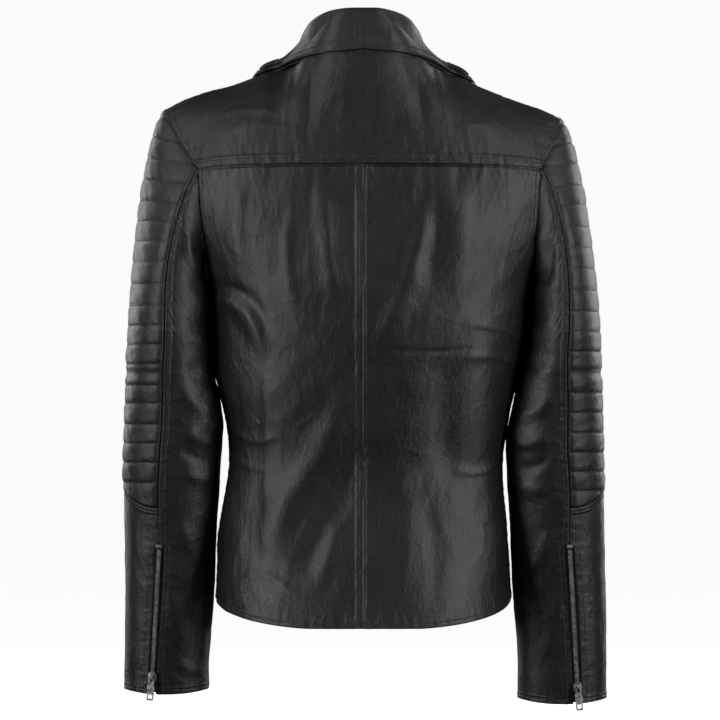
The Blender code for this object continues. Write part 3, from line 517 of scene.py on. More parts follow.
class Panel:
    """A sewn panel: a grid laid on a surface, raised by relief and by how its four sides are made."""

    def __init__(self, name, surface, us, vs, out, finish, slot="leather", relief=None, low=None,
                 high=None, first=None, last=None, lift=0.0, thick=LEATHER):
        base = surface(us[None, :], vs[:, None])
        self.out = out
        across, along = lengths_of(base, 1), lengths_of(base, 0)
        gaps = {"first": across, "last": across[:, -1:] - across,
                "low": along, "high": along[-1:] - along}
        if vs[0] > vs[-1]:
            gaps["low"], gaps["high"] = gaps["high"], gaps["low"]
        self.gaps, self.sides = gaps, {"low": low, "high": high, "first": first, "last": last}
        height = lift + 0 * across
        if relief is not None:
            height = height + relief(base, gaps)
        for side, edge in self.sides.items():
            if edge is not None:
                height = height + edge.height(gaps[side], along if side in ("first", "last") else across)
        self.place = base + normals_of(base) * out * height[..., None]
        self.normal = normals_of(self.place) * out
        self.area = self.sheet_area(base)
        self.flat = (float(across[:, -1].max()) * MM, float(along[-1].max()) * MM)
        mesh = grid_mesh(name, self.place, across, along)
        middle = mesh.polygons[len(mesh.polygons) // 2]
        near = np.abs(self.place * MM - np.array(middle.center)).sum(-1).argmin()
        if Vector(self.normal.reshape(-1, 3)[near]).dot(middle.normal) < 0:
            mesh.flip_normals()
        self.obj = add(name, mesh, finish)
        if thick:
            wall = self.obj.modifiers.new("wall", "SOLIDIFY")
            wall.thickness = thick * MM
            wall.offset = -1
            settle(self.obj)

    @staticmethod
    def sheet_area(grid):
        u = np.diff(grid, axis=1)[:-1]
        v = np.diff(grid, axis=0)[:, :-1]
        return float(np.linalg.norm(np.cross(u, v), axis=-1).sum()) * MM * MM

    @staticmethod
    def crossing(field, value, place, normal):
        """Where each row of a field passes a value, as the place and the normal there."""
        found = []
        for f, at, up in zip(field - value, place, normal):
            cross = np.nonzero(f[:-1] * f[1:] <= 0)[0]
            if len(cross):
                i = cross[0]
                t = f[i] / (f[i] - f[i + 1]) if f[i] != f[i + 1] else 0
                found.append((at[i] * (1 - t) + at[i + 1] * t, up[i]))
        return found

    def level(self, field, value):
        """The line where a field over the grid has a value, found down each column."""
        return self.crossing(field.T, value, self.place.swapaxes(0, 1), self.normal.swapaxes(0, 1))

    def side_line(self, side, gap):
        """The line at a distance from one side."""
        if side in ("low", "high"):
            return self.level(self.gaps[side], gap)
        return self.crossing(self.gaps[side], gap, self.place, self.normal)

    def sew(self, where):
        """Stitches along every stitched side."""
        for side, edge in self.sides.items():
            for at in (edge.stitches if edge is not None else ()):
                STITCHING.setdefault(where, []).append(self.side_line(side, at))
        return self


STITCHING = {}


# ---------------------------------------------------------------- finishes
class Value:
    """A shader socket that takes Python's operators, each adding one Math node."""

    def __init__(self, finish, socket):
        self.finish, self.socket = finish, socket

    def math(self, operation, one, two):
        return self.finish.node("ShaderNodeMath", {"operation": operation}, {0: one, 1: two})

    def __add__(self, other): return self.math("ADD", self, other)
    def __sub__(self, other): return self.math("SUBTRACT", self, other)
    def __mul__(self, other): return self.math("MULTIPLY", self, other)
    def __pow__(self, other): return self.math("POWER", self, other)
    def __rsub__(self, other): return self.math("SUBTRACT", other, self)
    __radd__, __rmul__ = __add__, __mul__


class Finish:
    """A material on the Principled shader, with constants set on its sockets."""

    def __init__(self, name, **constants):
        self.material = bpy.data.materials.new(name)
        self.material.use_nodes = True
        self.tree = self.material.node_tree
        self.shader = self.tree.nodes["Principled BSDF"]
        for key, value in constants.items():
            self.shader.inputs[key.replace("_", " ")].default_value = value
        self.place = self.node("ShaderNodeTexCoord", out="Object")
        self.cloth = self.node("ShaderNodeTexCoord", out="UV")

    def node(self, kind, settings=None, values=None, out=0):
        made = self.tree.nodes.new(kind)
        for key, value in (settings or {}).items():
            if key == "stops":
                while len(made.color_ramp.elements) < len(value):
                    made.color_ramp.elements.new(0.5)
                for stop, (at, colour) in zip(made.color_ramp.elements, value):
                    stop.position, stop.color = at, (*colour, 1)
            else:
                setattr(made, key, value)
        for key, value in (values or {}).items():
            if isinstance(value, Value):
                self.tree.links.new(value.socket, made.inputs[key])
            else:
                made.inputs[key].default_value = value
        return Value(self, made.outputs[out])

    def noise(self, scale, detail=2.0, distortion=0.0, at=None, stretch=None):
        at = at or self.place
        if stretch:
            at = self.node("ShaderNodeMapping", None, {"Vector": at, "Scale": stretch})
        return self.node("ShaderNodeTexNoise", None,
                         {"Vector": at, "Scale": scale, "Detail": detail, "Distortion": distortion})

    def bands(self, direction, at, **values):
        return self.node("ShaderNodeTexWave", {"wave_type": "BANDS", "bands_direction": direction},
                         {"Vector": at, **values}, "Fac")

    def cells(self, scale):
        return self.node("ShaderNodeTexVoronoi", {"feature": "DISTANCE_TO_EDGE"},
                         {"Vector": self.place, "Scale": scale}, "Distance")

    def ramp(self, value, *stops):
        return self.node("ShaderNodeValToRGB", {"stops": stops}, {0: value})

    def feed(self, **links):
        for key, value in links.items():
            self.tree.links.new(value.socket, self.shader.inputs[key.replace("_", " ")])
        return self

    def bump(self, height, distance, strength=1.0):
        return self.node("ShaderNodeBump", None,
                         {"Height": height, "Distance": distance, "Strength": strength}, "Normal")


def grey(v, tint=0.0):
    return (v, v * (1 - 0.25 * tint), v * (1 - tint))


def leather_finish(name, tone=1.0, rough=0.43):
    f = Finish(name, Specular_IOR_Level=0.5, Coat_Weight=0.05, Coat_Roughness=0.28)
    patches = f.noise(13.0, 3.0)
    hide = f.noise(150.0, 6.0, 0.9)
    pores, veins = f.cells(950.0), f.cells(210.0)
    pebble = pores.math("MINIMUM", pores * 3.0, 1.0)
    crease = veins.math("MINIMUM", veins * 9.0, 1.0)
    streaks = f.noise(70.0, 2.5, 1.4, stretch=(1.5, 1.5, 0.55))
    # A tone over 1.0 makes the colour lighter; the quilted leather's 1.5 is painted light, not a lighter
    # hide.
    colour = f.ramp(patches * 0.7 + hide * 0.3, (0.3, (0.0050 * tone, 0.0050 * tone, 0.0054 * tone)),
                    (0.7, (0.0100 * tone, 0.0098 * tone, 0.0102 * tone)))
    f.feed(Base_Color=colour, Roughness=rough - 0.06 + patches * 0.10 + hide * 0.08 - pebble * 0.03,
           Normal=f.bump(pebble * 0.15 + crease * 0.12 + hide * 0.75 + streaks * 0.8, 0.0011, 0.55))
    return f.material


def satin_finish():
    f = Finish("lining_satin", Specular_IOR_Level=0.45, Sheen_Weight=0.25, Sheen_Roughness=0.4)
    weft = f.bands("Y", f.cloth, Scale=420.0, Distortion=0.6, Detail=1.0)
    warp = f.bands("X", f.cloth, Scale=300.0, Distortion=0.6, Detail=1.0)
    patches = f.noise(18.0, 2.0)
    f.feed(Base_Color=f.ramp(patches, (0.3, (0.017, 0.017, 0.020)), (0.7, (0.027, 0.027, 0.031))),
           Roughness=0.36 + patches * 0.16, Normal=f.bump(weft * 0.6 + warp * 0.3, 0.00008, 0.4))
    return f.material


def tape_finish():
    f = Finish("zip_tape_twill", Specular_IOR_Level=0.25, Sheen_Weight=0.3, Sheen_Roughness=0.5)
    turned = f.node("ShaderNodeMapping", None,
                    {"Vector": f.cloth, "Rotation": (0, 0, 0.9), "Scale": (1.0, 1.0, 1.0)})
    twill = f.bands("X", turned, Scale=330.0, Distortion=0.4)
    fuzz = f.noise(900.0, 3.0)
    f.feed(Base_Color=f.ramp(twill * 0.6 + fuzz * 0.4, (0.2, (0.006, 0.006, 0.0065)),
                             (0.8, (0.018, 0.018, 0.019))),
           Roughness=0.78 + fuzz * 0.15, Normal=f.bump(twill + fuzz * 0.4, 0.0002, 0.7))
    return f.material


def metal_finish():
    f = Finish("antique_nickel", Metallic=1.0, Specular_IOR_Level=0.5)
    patina = f.noise(260.0, 4.0)
    scratches = f.noise(700.0, 3.0, 0.4, stretch=(1.0, 1.0, 0.12))
    wear = f.ramp(patina, (0.42, grey(0.32, 0.05)), (0.62, grey(0.60, 0.04)))
    f.feed(Base_Color=wear, Roughness=0.24 + patina * 0.18 + scratches * 0.10,
           Normal=f.bump(scratches * 0.6 + patina * 0.4, 0.00005, 0.5))
    return f.material


def thread_finish():
    f = Finish("waxed_thread", Specular_IOR_Level=0.4, Sheen_Weight=0.2, Sheen_Roughness=0.5)
    twist = f.noise(1600.0, 2.0, 0.5)
    f.feed(Base_Color=f.ramp(twist, (0.3, grey(0.016)), (0.7, grey(0.040))),
           Roughness=0.48 + twist * 0.2, Normal=f.bump(twist, 0.00012, 0.6))
    return f.material


def label_finish():
    f = Finish("blank_label", Specular_IOR_Level=0.3, Sheen_Weight=0.25, Sheen_Roughness=0.4)
    weave = f.bands("Y", f.cloth, Scale=500.0)
    fuzz = f.noise(1200.0, 2.0)
    f.feed(Base_Color=f.ramp(weave * 0.5 + fuzz * 0.5, (0.2, grey(0.045)), (0.8, grey(0.09))),
           Roughness=0.6 + fuzz * 0.2, Normal=f.bump(weave, 0.0001, 0.6))
    return f.material


def paper_finish(name, tone, glow):
    f = Finish(name, Specular_IOR_Level=0.1, Roughness=0.9, Emission_Strength=glow)
    f.shader.inputs["Emission Color"].default_value = (1, 1, 1, 1)
    speckle = f.noise(60.0, 3.0)
    f.feed(Base_Color=f.ramp(speckle, (0.3, grey(tone)), (0.7, grey(tone + 0.01))))
    return f.material


LEATHER_BODY = leather_finish("black_leather")
# Quilted leather: the same black leather, its colour 1.5 times lighter as painted light for the side light
# falling on the outer sleeves.
LEATHER_QUILT_PAINTED_LIGHT = leather_finish("quilted_leather", 1.5, 0.47)
LEATHER_COLLAR = leather_finish("collar_leather", 1.0, 0.46)
SATIN, TAPE, METAL = satin_finish(), tape_finish(), metal_finish()
THREAD, LABEL = thread_finish(), label_finish()


# ---------------------------------------------------------------- torso
def share(values, low=0.0, high=1.0):
    return low + (high - low) * values


def shoulder_ramp(side):
    """Start and end points across the shoulder, off the plane of the armhole."""
    across = np.array([side * 0.973, 0.0, -0.229])
    base = np.array([side * (190.0 if side > 0 else 192.0), 0.0, -158.0])
    return tuple(map(tuple, ((base + across * 1.0) * MM, (base + across * 18.0) * MM)))


def elbow_ramp(side):
    return tuple((side * 0.206, -0.008, z * MM) for z in ELBOW_RAMP)


def place_on(piece, where):
    """where is a body the piece is attached to, or (body, body, start, end), for which the piece is only
    baked where it stands and the bodies and points do nothing.
    """
    if isinstance(where, str):
        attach(piece, where)
    else:
        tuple(where[2])
        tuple(where[3])
        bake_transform(piece)


def sheet(panel, where, replaced):
    place_on(panel.obj, where)
    if replaced:
        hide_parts(*replaced)
    min(panel.area, panel.flat[0] * panel.flat[1])
    return panel


def back_relief(base, gaps):
    x, z = base[..., 0], base[..., 2]
    under_yoke = np.exp(-gaps["high"] / 24) * 0.35 * ripple(31, x, gaps["high"], 7.5)
    fan = np.exp(-gaps["high"] / 55) * 0.28 * ripple(32, x, gaps["high"] * 0.3, 17)
    inside = smooth(gaps["low"] / 14)
    return inside * (folds(BACK_FOLDS, x, z) + under_yoke + fan) + drape(11, base)


def yoke_relief(base, gaps):
    x, z = base[..., 0], base[..., 2]
    above = np.exp(-np.maximum(gaps["low"] - 8, 0) / 16) * 0.3 * ripple(33, x, gaps["low"], 6.0)
    keep = smooth(gaps["high"] / 12)
    return folds(YOKE_FOLDS, x, z) + (above + drape(12, base)) * keep


def front_relief(side):
    def relief(base, gaps):
        x, z = side * base[..., 0], base[..., 2]
        keep = smooth(gaps["first"] / 14) * smooth(gaps["low"] / 14)
        pocket = np.exp(-(((x - 89) / 26) ** 4 + ((z + 506) / 74) ** 4))
        lapel = smooth((z + 236) / 20)
        body = folds(FRONT_FOLDS, x, z) * (1 - pocket) * (1 - 0.7 * lapel)
        return keep * (body + drape(13 + side, base) * (1 - 0.6 * pocket))
    return relief


back_rows = HEM_Z + (YOKE_Z - HEM_Z) * lines(502, 1.9)
for side_name, side in SIDES.items():
    over = side > 0
    middle = (Edge(0.9, 7.6, 1.2, (6.0,), 0.35, 0.12, 41) if over
              else Edge(-0.4, 1.5, 0.5, (), 0.3, 0.12, 42))
    panel = Panel(
        "back_" + side_name, lambda u, v, side=side: back(side * u, v), lines(188, 1.9), back_rows,
        -side, LEATHER_BODY, relief=back_relief,
        low=Edge(0.35, 6.5, 1.4, (5.4,), 0.4, 0.4, 43), high=Edge(-1.0, 3.5, 0.0, (), 0, 0.12, 44),
        first=middle, last=Edge(0.3, 6.0, 1.0, (5.2,), 0.35, 0.3, 45))
    sheet(panel.sew("torso"), "torso", ["back_panel_" + side_name])

yoke_rows = -122.2 + 107.2 * lines(117, 1.9)
yoke = Panel("yoke", back, -1 + 2 * lines(440, 2.0), yoke_rows, -1, LEATHER_BODY, relief=yoke_relief,
             low=Edge(1.35, 9.8, 1.2, (2.2, 7.8), 0.3, 0.1, 46),
             high=Edge(-0.2, 2.0, 1.0, (), 0, 0.2, 47),
             first=Edge(0.35, 6.0, 1.0, (5.0,), 0.35, 0.3, 48),
             last=Edge(0.35, 6.0, 1.0, (5.0,), 0.35, 0.3, 49))
sheet(yoke.sew("torso"), "torso", ["back_yoke"])

front_rows = np.concatenate([HEM_Z + (YOKE_Z - HEM_Z) * lines(502, 2.0, high=False),
                             YOKE_Z + 105 * lines(101, 2.0, low=False)[1:]])
for side_name, side in SIDES.items():
    panel = Panel(
        "front_" + side_name, lambda u, v, side=side: front(u, v, side),
        lines(200 if side > 0 else 210, 2.0), front_rows, side, LEATHER_BODY,
        relief=front_relief(side), low=Edge(0.35, 6.5, 1.4, (5.4,), 0.4, 0.4, 51),
        high=Edge(-0.2, 2.0, 1.0, (), 0, 0.2, 52),
        first=Edge(0.5, 9.0, 1.2, (2.6, 8.4), 0.4, 0.25, 53),
        last=Edge(0.3, 6.0, 1.0, (5.2,), 0.35, 0.3, 54))
    sheet(panel.sew("torso"), "torso", ["front_panel_" + side_name])
    lining = Panel(
        "front_lining_" + side_name, lambda u, v, side=side: front(share(u, .05, .996), v, side),
        np.linspace(0, 1, 50), np.linspace(-600, -29, 150), side, SATIN, "lining", lift=-LINING_OFFSET,
        relief=lambda base, gaps: 0.9 * waves(61, (40, 63, 90), base[..., 0], base[..., 2] * 0.3)
        - 0.4, thick=0.6, low=Edge(0, 3, 0.6, (2.5,), 0.3, 0.2, 55))
    sheet(lining, "torso", ["lining_front_" + side_name])
    bag = Panel(
        "pocket_" + side_name, lambda u, v, side=side: front(share(u, .2, .78), v, side),
        np.linspace(0, 1, 40), np.linspace(-584, -425, 60), side, SATIN, "lining", lift=-5.6,
        relief=lambda base, gaps: 0.5 * waves(62, (33, 50), base[..., 0], base[..., 2]), thick=0.8)
    sheet(bag, "torso", ["pocket_bag_" + side_name])

lining = Panel(
    "back_lining", lambda u, v: back(share(u, -.99, .99), v), np.linspace(0, 1, 140),
    np.linspace(-600, -29, 170), -1, SATIN, "lining", lift=-LINING_OFFSET, thick=0.6,
    relief=lambda base, gaps: 0.9 * waves(63, (44, 60, 95), base[..., 0], base[..., 2] * 0.3)
    - 2.2 * np.exp(-(base[..., 0] / 7) ** 2), low=Edge(0, 3, 0.6, (2.5,), 0.3, 0.2, 56))
sheet(lining, "torso", ["lining_back"])


# ---------------------------------------------------------------- collar
def torso_point(side, q, row, lift):
    """Point just off the back surface, or off the front one where q is over 1 (then q - 1)."""
    def surface(dq, drow):
        return front(q - 1 + dq, row + drow, side) if q > 1 else back(side * (q + dq), row + drow)
    here = surface(0, 0)
    normal = np.cross(surface(0.01, 0) - here, surface(0, -1) - here)
    normal *= (1 if q <= 1 else -1) * side / np.linalg.norm(normal)
    return here + normal * lift


COLLAR_ROLL = path((0, 0, 51, 43.8), (.15, 21, 49.5, 43.2), (.3, 38, 41, 39.5), (.45, 53, 23, 30.5),
                   (.6, 62, -6, 13), (.75, 64, -40, -13), (.9, 59, -76, -52), (1, 55, -97, -82))
NECK_ROUTE = [(0, 0, -16), (.15, .1, -16), (.3, .2, -16), (.45, .3, -16), (.58, 1, -16), (.7, 1, -45),
              (.82, 1, -70), (.92, 1, -92), (1, 1, -99)]
EDGE_ROUTE = [(0, 0, -24), (.15, .17, -25), (.3, .31, -26), (.45, .44, -24), (.57, .525, -18.5),
              (.7, 1.32, -36), (.84, 1.3, -66), (.94, 1.22, -92), (1, 1.12, -104)]


def collar_path(side, route, lift, inward=0.0):
    points = np.array([torso_point(side, q + 1e-6 if q == 1 else q, row, lift) for _, q, row in route])
    points[0, 0] = 0
    points[:, 0] -= side * inward * np.minimum(1, np.abs(points[:, 0]) / 40)
    points[:, 2] += inward
    return path(*((a, *point) for (a, _, _), point in zip(route, points)))


def collar_row(a, left, right):
    return np.where((a >= 0)[:, None], left(np.abs(a)), right(np.abs(a)))


def mirrored(curve):
    return lambda q: curve(q) * np.array([-1, 1, 1])


def collar_curves(a):
    roll = collar_row(a, COLLAR_ROLL, mirrored(COLLAR_ROLL))
    roll[:, 0] += 3 * (1 - a ** 4)
    neck = collar_row(a, *(collar_path(side, NECK_ROUTE, -0.5, 2.6) for side in (1, -1)))
    edge = collar_row(a, *(collar_path(side, EDGE_ROUTE, 2.6) for side in (1, -1)))
    inside = collar_row(a, *(collar_path(side, [(k, q - .06 * (q > 1), min(row + 9, -16.2))
                                                for k, q, row in EDGE_ROUTE], 3.6)
                             for side in (1, -1)))
    outward = np.stack([roll[:, 0], roll[:, 1] + 20, 0 * a], -1)
    outward /= np.linalg.norm(outward, axis=-1, keepdims=True)
    start = roll + outward * 3.0 + np.array([0, 0, 1.0])
    length = np.linalg.norm(edge - start, axis=-1, keepdims=True)
    ahead = (edge - inside) / np.linalg.norm(edge - inside, axis=-1, keepdims=True)
    steep = (smooth((np.abs(a) - 0.05) / 0.25) * (1 - 0.6 * smooth((np.abs(a) - 0.66) / 0.2)))[:, None]
    leave = outward * (0.7 - 0.55 * steep) + np.array([0, 0, 1]) * (0.15 - 1.15 * steep)
    leave = leave * length * (0.75 + 0.5 * steep)

    def fall(k):
        return hermite(start, leave, edge, ahead * length * 0.8, np.full(len(a), k))

    return neck, roll, outward, fall, edge, ahead


def through(rails, k):
    """A smooth surface through rails of points, k from 0 at the first to 1 at the last."""
    rails = np.stack(rails)
    rails = np.concatenate([2 * rails[:1] - rails[1:2], rails, 2 * rails[-1:] - rails[-2:-1]])
    at = np.clip(k.ravel() * (len(rails) - 3), 0, len(rails) - 3 - 1e-6)
    i = at.astype(int)
    t = (at - i)[:, None, None]
    a, b, c, d = (rails[i + j] for j in range(4))
    return 0.5 * (2 * b + (c - a) * t + (2 * a - 5 * b + 4 * c - d) * t ** 2
                  + (3 * b - a - 3 * c + d) * t ** 3)


def collar_surface(u, v):
    a = share(u.ravel(), -0.985, 0.985)
    neck, roll, outward, fall, edge, ahead = collar_curves(a)
    up = np.array([0, 0, 1.0])
    rails = [neck, neck * .65 + roll * .35, neck * .3 + roll * .7, roll - outward * 0.3 - up * 1.5,
             roll + outward * 0.9 + up * 0.6, fall(.03), fall(.14), fall(.28), fall(.44), fall(.6),
             fall(.76), fall(.9), fall(1.0)]
    return through(rails, v)


def under_collar_surface(u, v):
    a = share(u.ravel(), -0.98, 0.98)
    neck, roll, outward, fall, edge, ahead = collar_curves(a)
    return through([fall(.5), fall(.75), fall(1.0), fall(1.0) + ahead * 3.2], v)


def collar_relief(base, gaps):
    x, z = base[..., 0], base[..., 2]
    stand = smooth((gaps["low"] - 30) / 14)
    puckers = np.exp(-np.abs(gaps["high"] - 9) / 9) * 0.12 * ripple(72, gaps["first"], gaps["high"])
    crease = fold(x, z, 0.7, 3, 2, [(-29, 34), (-31, 18), (-30, 6)])
    crease = crease + fold(x, z, 0.5, 5, 4, [(40, 30), (52, 14), (62, 2)])
    sides = smooth(gaps["first"] / 8) * smooth(gaps["last"] / 8)
    return (stand * (puckers + crease * (base[..., 1] > 20)) + 0.5 * drape(14, base)) * sides


collar_rows = np.concatenate([np.linspace(0, 0.25, 24), np.linspace(0.25, 0.46, 34)[1:],
                              0.46 + 0.54 * lines(62, 1.6, low=False)[1:]])
collar = Panel("collar", collar_surface, lines(460, 1.9), collar_rows, 1, LEATHER_COLLAR,
               relief=collar_relief, high=Edge(0.7, 9.9, 1.5, (2.2, 9.0), 0.4, 0.1, 71),
               first=Edge(0.4, 5, 1.2, (4.2,), 0.3, 0.2, 73),
               last=Edge(0.4, 5, 1.2, (4.2,), 0.3, 0.2, 74), lift=0.8, thick=1.7)
sheet(collar.sew("torso"), "torso", ["collar_stand", "collar_fall"])
under = Panel("under_collar", under_collar_surface, lines(440, 2.2), lines(32, 1.6), 1,
              LEATHER_COLLAR, lift=-1.9, high=Edge(0.3, 3.0, 0.9, (), 0, 0.2, 75), thick=1.2)
sheet(under, "torso", [])


# ---------------------------------------------------------------- lapels
def lapel_surface(side):
    bx, bz = BREAK[0] + side * 4, BREAK[1] + 4
    gx, gz = GORGE[side][0] + side * 3, GORGE[side][1] - 4
    outer_edge = spline((0, 5), (.3, 44), (.62, 78), (.78, 80), (1, 42))
    drop_edge = spline((0, 6), (.3, 4), (.62, -14), (.78, -22), (1, -10))

    def surface(u, v):
        u, v = np.broadcast_arrays(u, v)
        x, z = bx + (gx - bx) * v, bz + (gz - bz) * v
        x, z = x + side * outer_edge(v) * u, z + drop_edge(v) * u
        rise = 4.4 - 3.2 * np.clip(1 - u * outer_edge(v) / 6, 0, 1) ** 2
        return np.stack([x, front_y(x, z) - rise, z], -1)
    return surface, (bx, bz), (gx, gz)


for side_name, side in SIDES.items():
    surface, (bx, bz), (gx, gz) = lapel_surface(side)
    panel = Panel(
        "lapel_front_" + side_name, surface, lines(80, 1.7, low=False), lines(130, 1.7), side,
        LEATHER_COLLAR, relief=lambda base, gaps: 0.35 * drape(15, base) * smooth(gaps["first"] / 8),
        low=Edge(0.2, 4, 1.2, (), 0, 0.2, 76), high=Edge(0.4, 6, 1.4, (5.0,), 0.35, 0.2, 77),
        last=Edge(0.4, 6, 1.4, (5.0,), 0.35, 0.2, 78), lift=0.4, thick=1.6)
    away = np.array([gz - bz, 0, bx - gx]) * (1 if side > 0 else -1)
    away = away / np.linalg.norm(away)
    fold_foot = np.array([bx, float(front_y(bx, bz)) - 3.6, bz])
    where = ("torso", "lapel_" + side_name, tuple(fold_foot * MM), tuple((fold_foot + away * 7) * MM))
    sheet(panel.sew(where), where, ["lapel_" + side_name])


# ---------------------------------------------------------------- sleeves
QUILT_LINES = {
    1: [-92.5, -115, -138, -160.2, -181.7, -203.2, -225.8, -249.4, -272.6, -294, -314.5, -335.4, -358,
        -377.3, -399.9, -420.3, -440.8, -462.3],
    -1: [-97.8, -119.9, -144, -164.5, -188, -210.7, -233.3, -256.4, -279, -301, -322, -344, -366,
         -387.5, -409, -430, -451, -471],
}


def channel(base, side):
    """How far down the quilting a point is, in channels: whole numbers are the stitched lines."""
    x, z = side * base[..., 0], base[..., 2]
    level = z - 0.17 * (x - 225) * smooth((z + 200) / 120)
    rows = np.array(QUILT_LINES[side])
    count = np.arange(len(rows))
    inside = np.interp(-level, -rows, count)
    above = (rows[0] - level) / 21.5
    below = (rows[-1] - level) / 30.0
    return np.where(level > rows[0], above, np.where(level < rows[-1], count[-1] + below, inside))


def quilt_relief(side, fade_high=False, fade_low=False):
    def relief(base, gaps):
        at = channel(base, side)
        part, number = at - np.floor(at), np.floor(at).astype(int)
        full = np.random.default_rng(80 + side).uniform(0.8, 1.15, 40)[number % 40]
        pillow = (1 - np.abs(2 * part - 1) ** 3.4) ** 0.6
        from_line = np.minimum(part, 1 - part) * 20.5
        turn = np.arctan2(base[..., 1] + 8, side * base[..., 0] - 206) * 62
        pinch = smooth(gaps["first"] / 7) * smooth(gaps["last"] / 7)
        puckers = 0.26 * np.exp(-from_line / 3.5) * ripple(81, turn + 7 * number, from_line, 6.2)
        soft = 0.3 * waves(82 + side, (17, 26, 38), turn, base[..., 2] * 1.6)
        head = smooth(gaps["high"] / 9) if fade_high else 1
        foot = smooth(gaps["low"] / 9) if fade_low else 1
        raised = (1.75 * full * pillow + soft * pillow) * pinch * foot * head
        return raised + puckers * head * foot + 0.25 * drape(16, base)
    return relief


def plain_relief(side):
    def relief(base, gaps):
        x, z = base[..., 0], base[..., 2]
        keep = smooth(gaps["first"] / 12) * smooth(gaps["last"] / 12) * smooth((z + 690) / 20)
        middle = (SLEEVE_OUT[side](z) + SLEEVE_IN[side](z)) / 2
        turn = np.arctan2(base[..., 1] - SLEEVE_Y(z), side * x - middle)
        rests = smooth((-225 - z) / 40) * smooth((z + (418 if side > 0 else 430)) / 22)
        pressed = 4.6 * np.exp(-((turn - 2.5) / 0.55) ** 2) * rests
        return keep * (folds(SLEEVE_FOLDS[side], x, z) + drape(17 + side, base)) + pressed
    return relief


def quilt_foot(u):
    """Where the quilting ends: an arc, highest on the outside of the arm."""
    return -457.5 - 32 * np.sin(math.pi / 2 * np.minimum(1, np.sqrt((2 * u - 1) ** 2 + 0.003)))


def turned(first, last, u, row):
    return first(row) + (last(row) - first(row)) * u


def zip_gap(row, wide=5.2):
    return np.radians(wide) * smooth((CUFF_ZIP_TOP_Z + 6 - row) / 5)


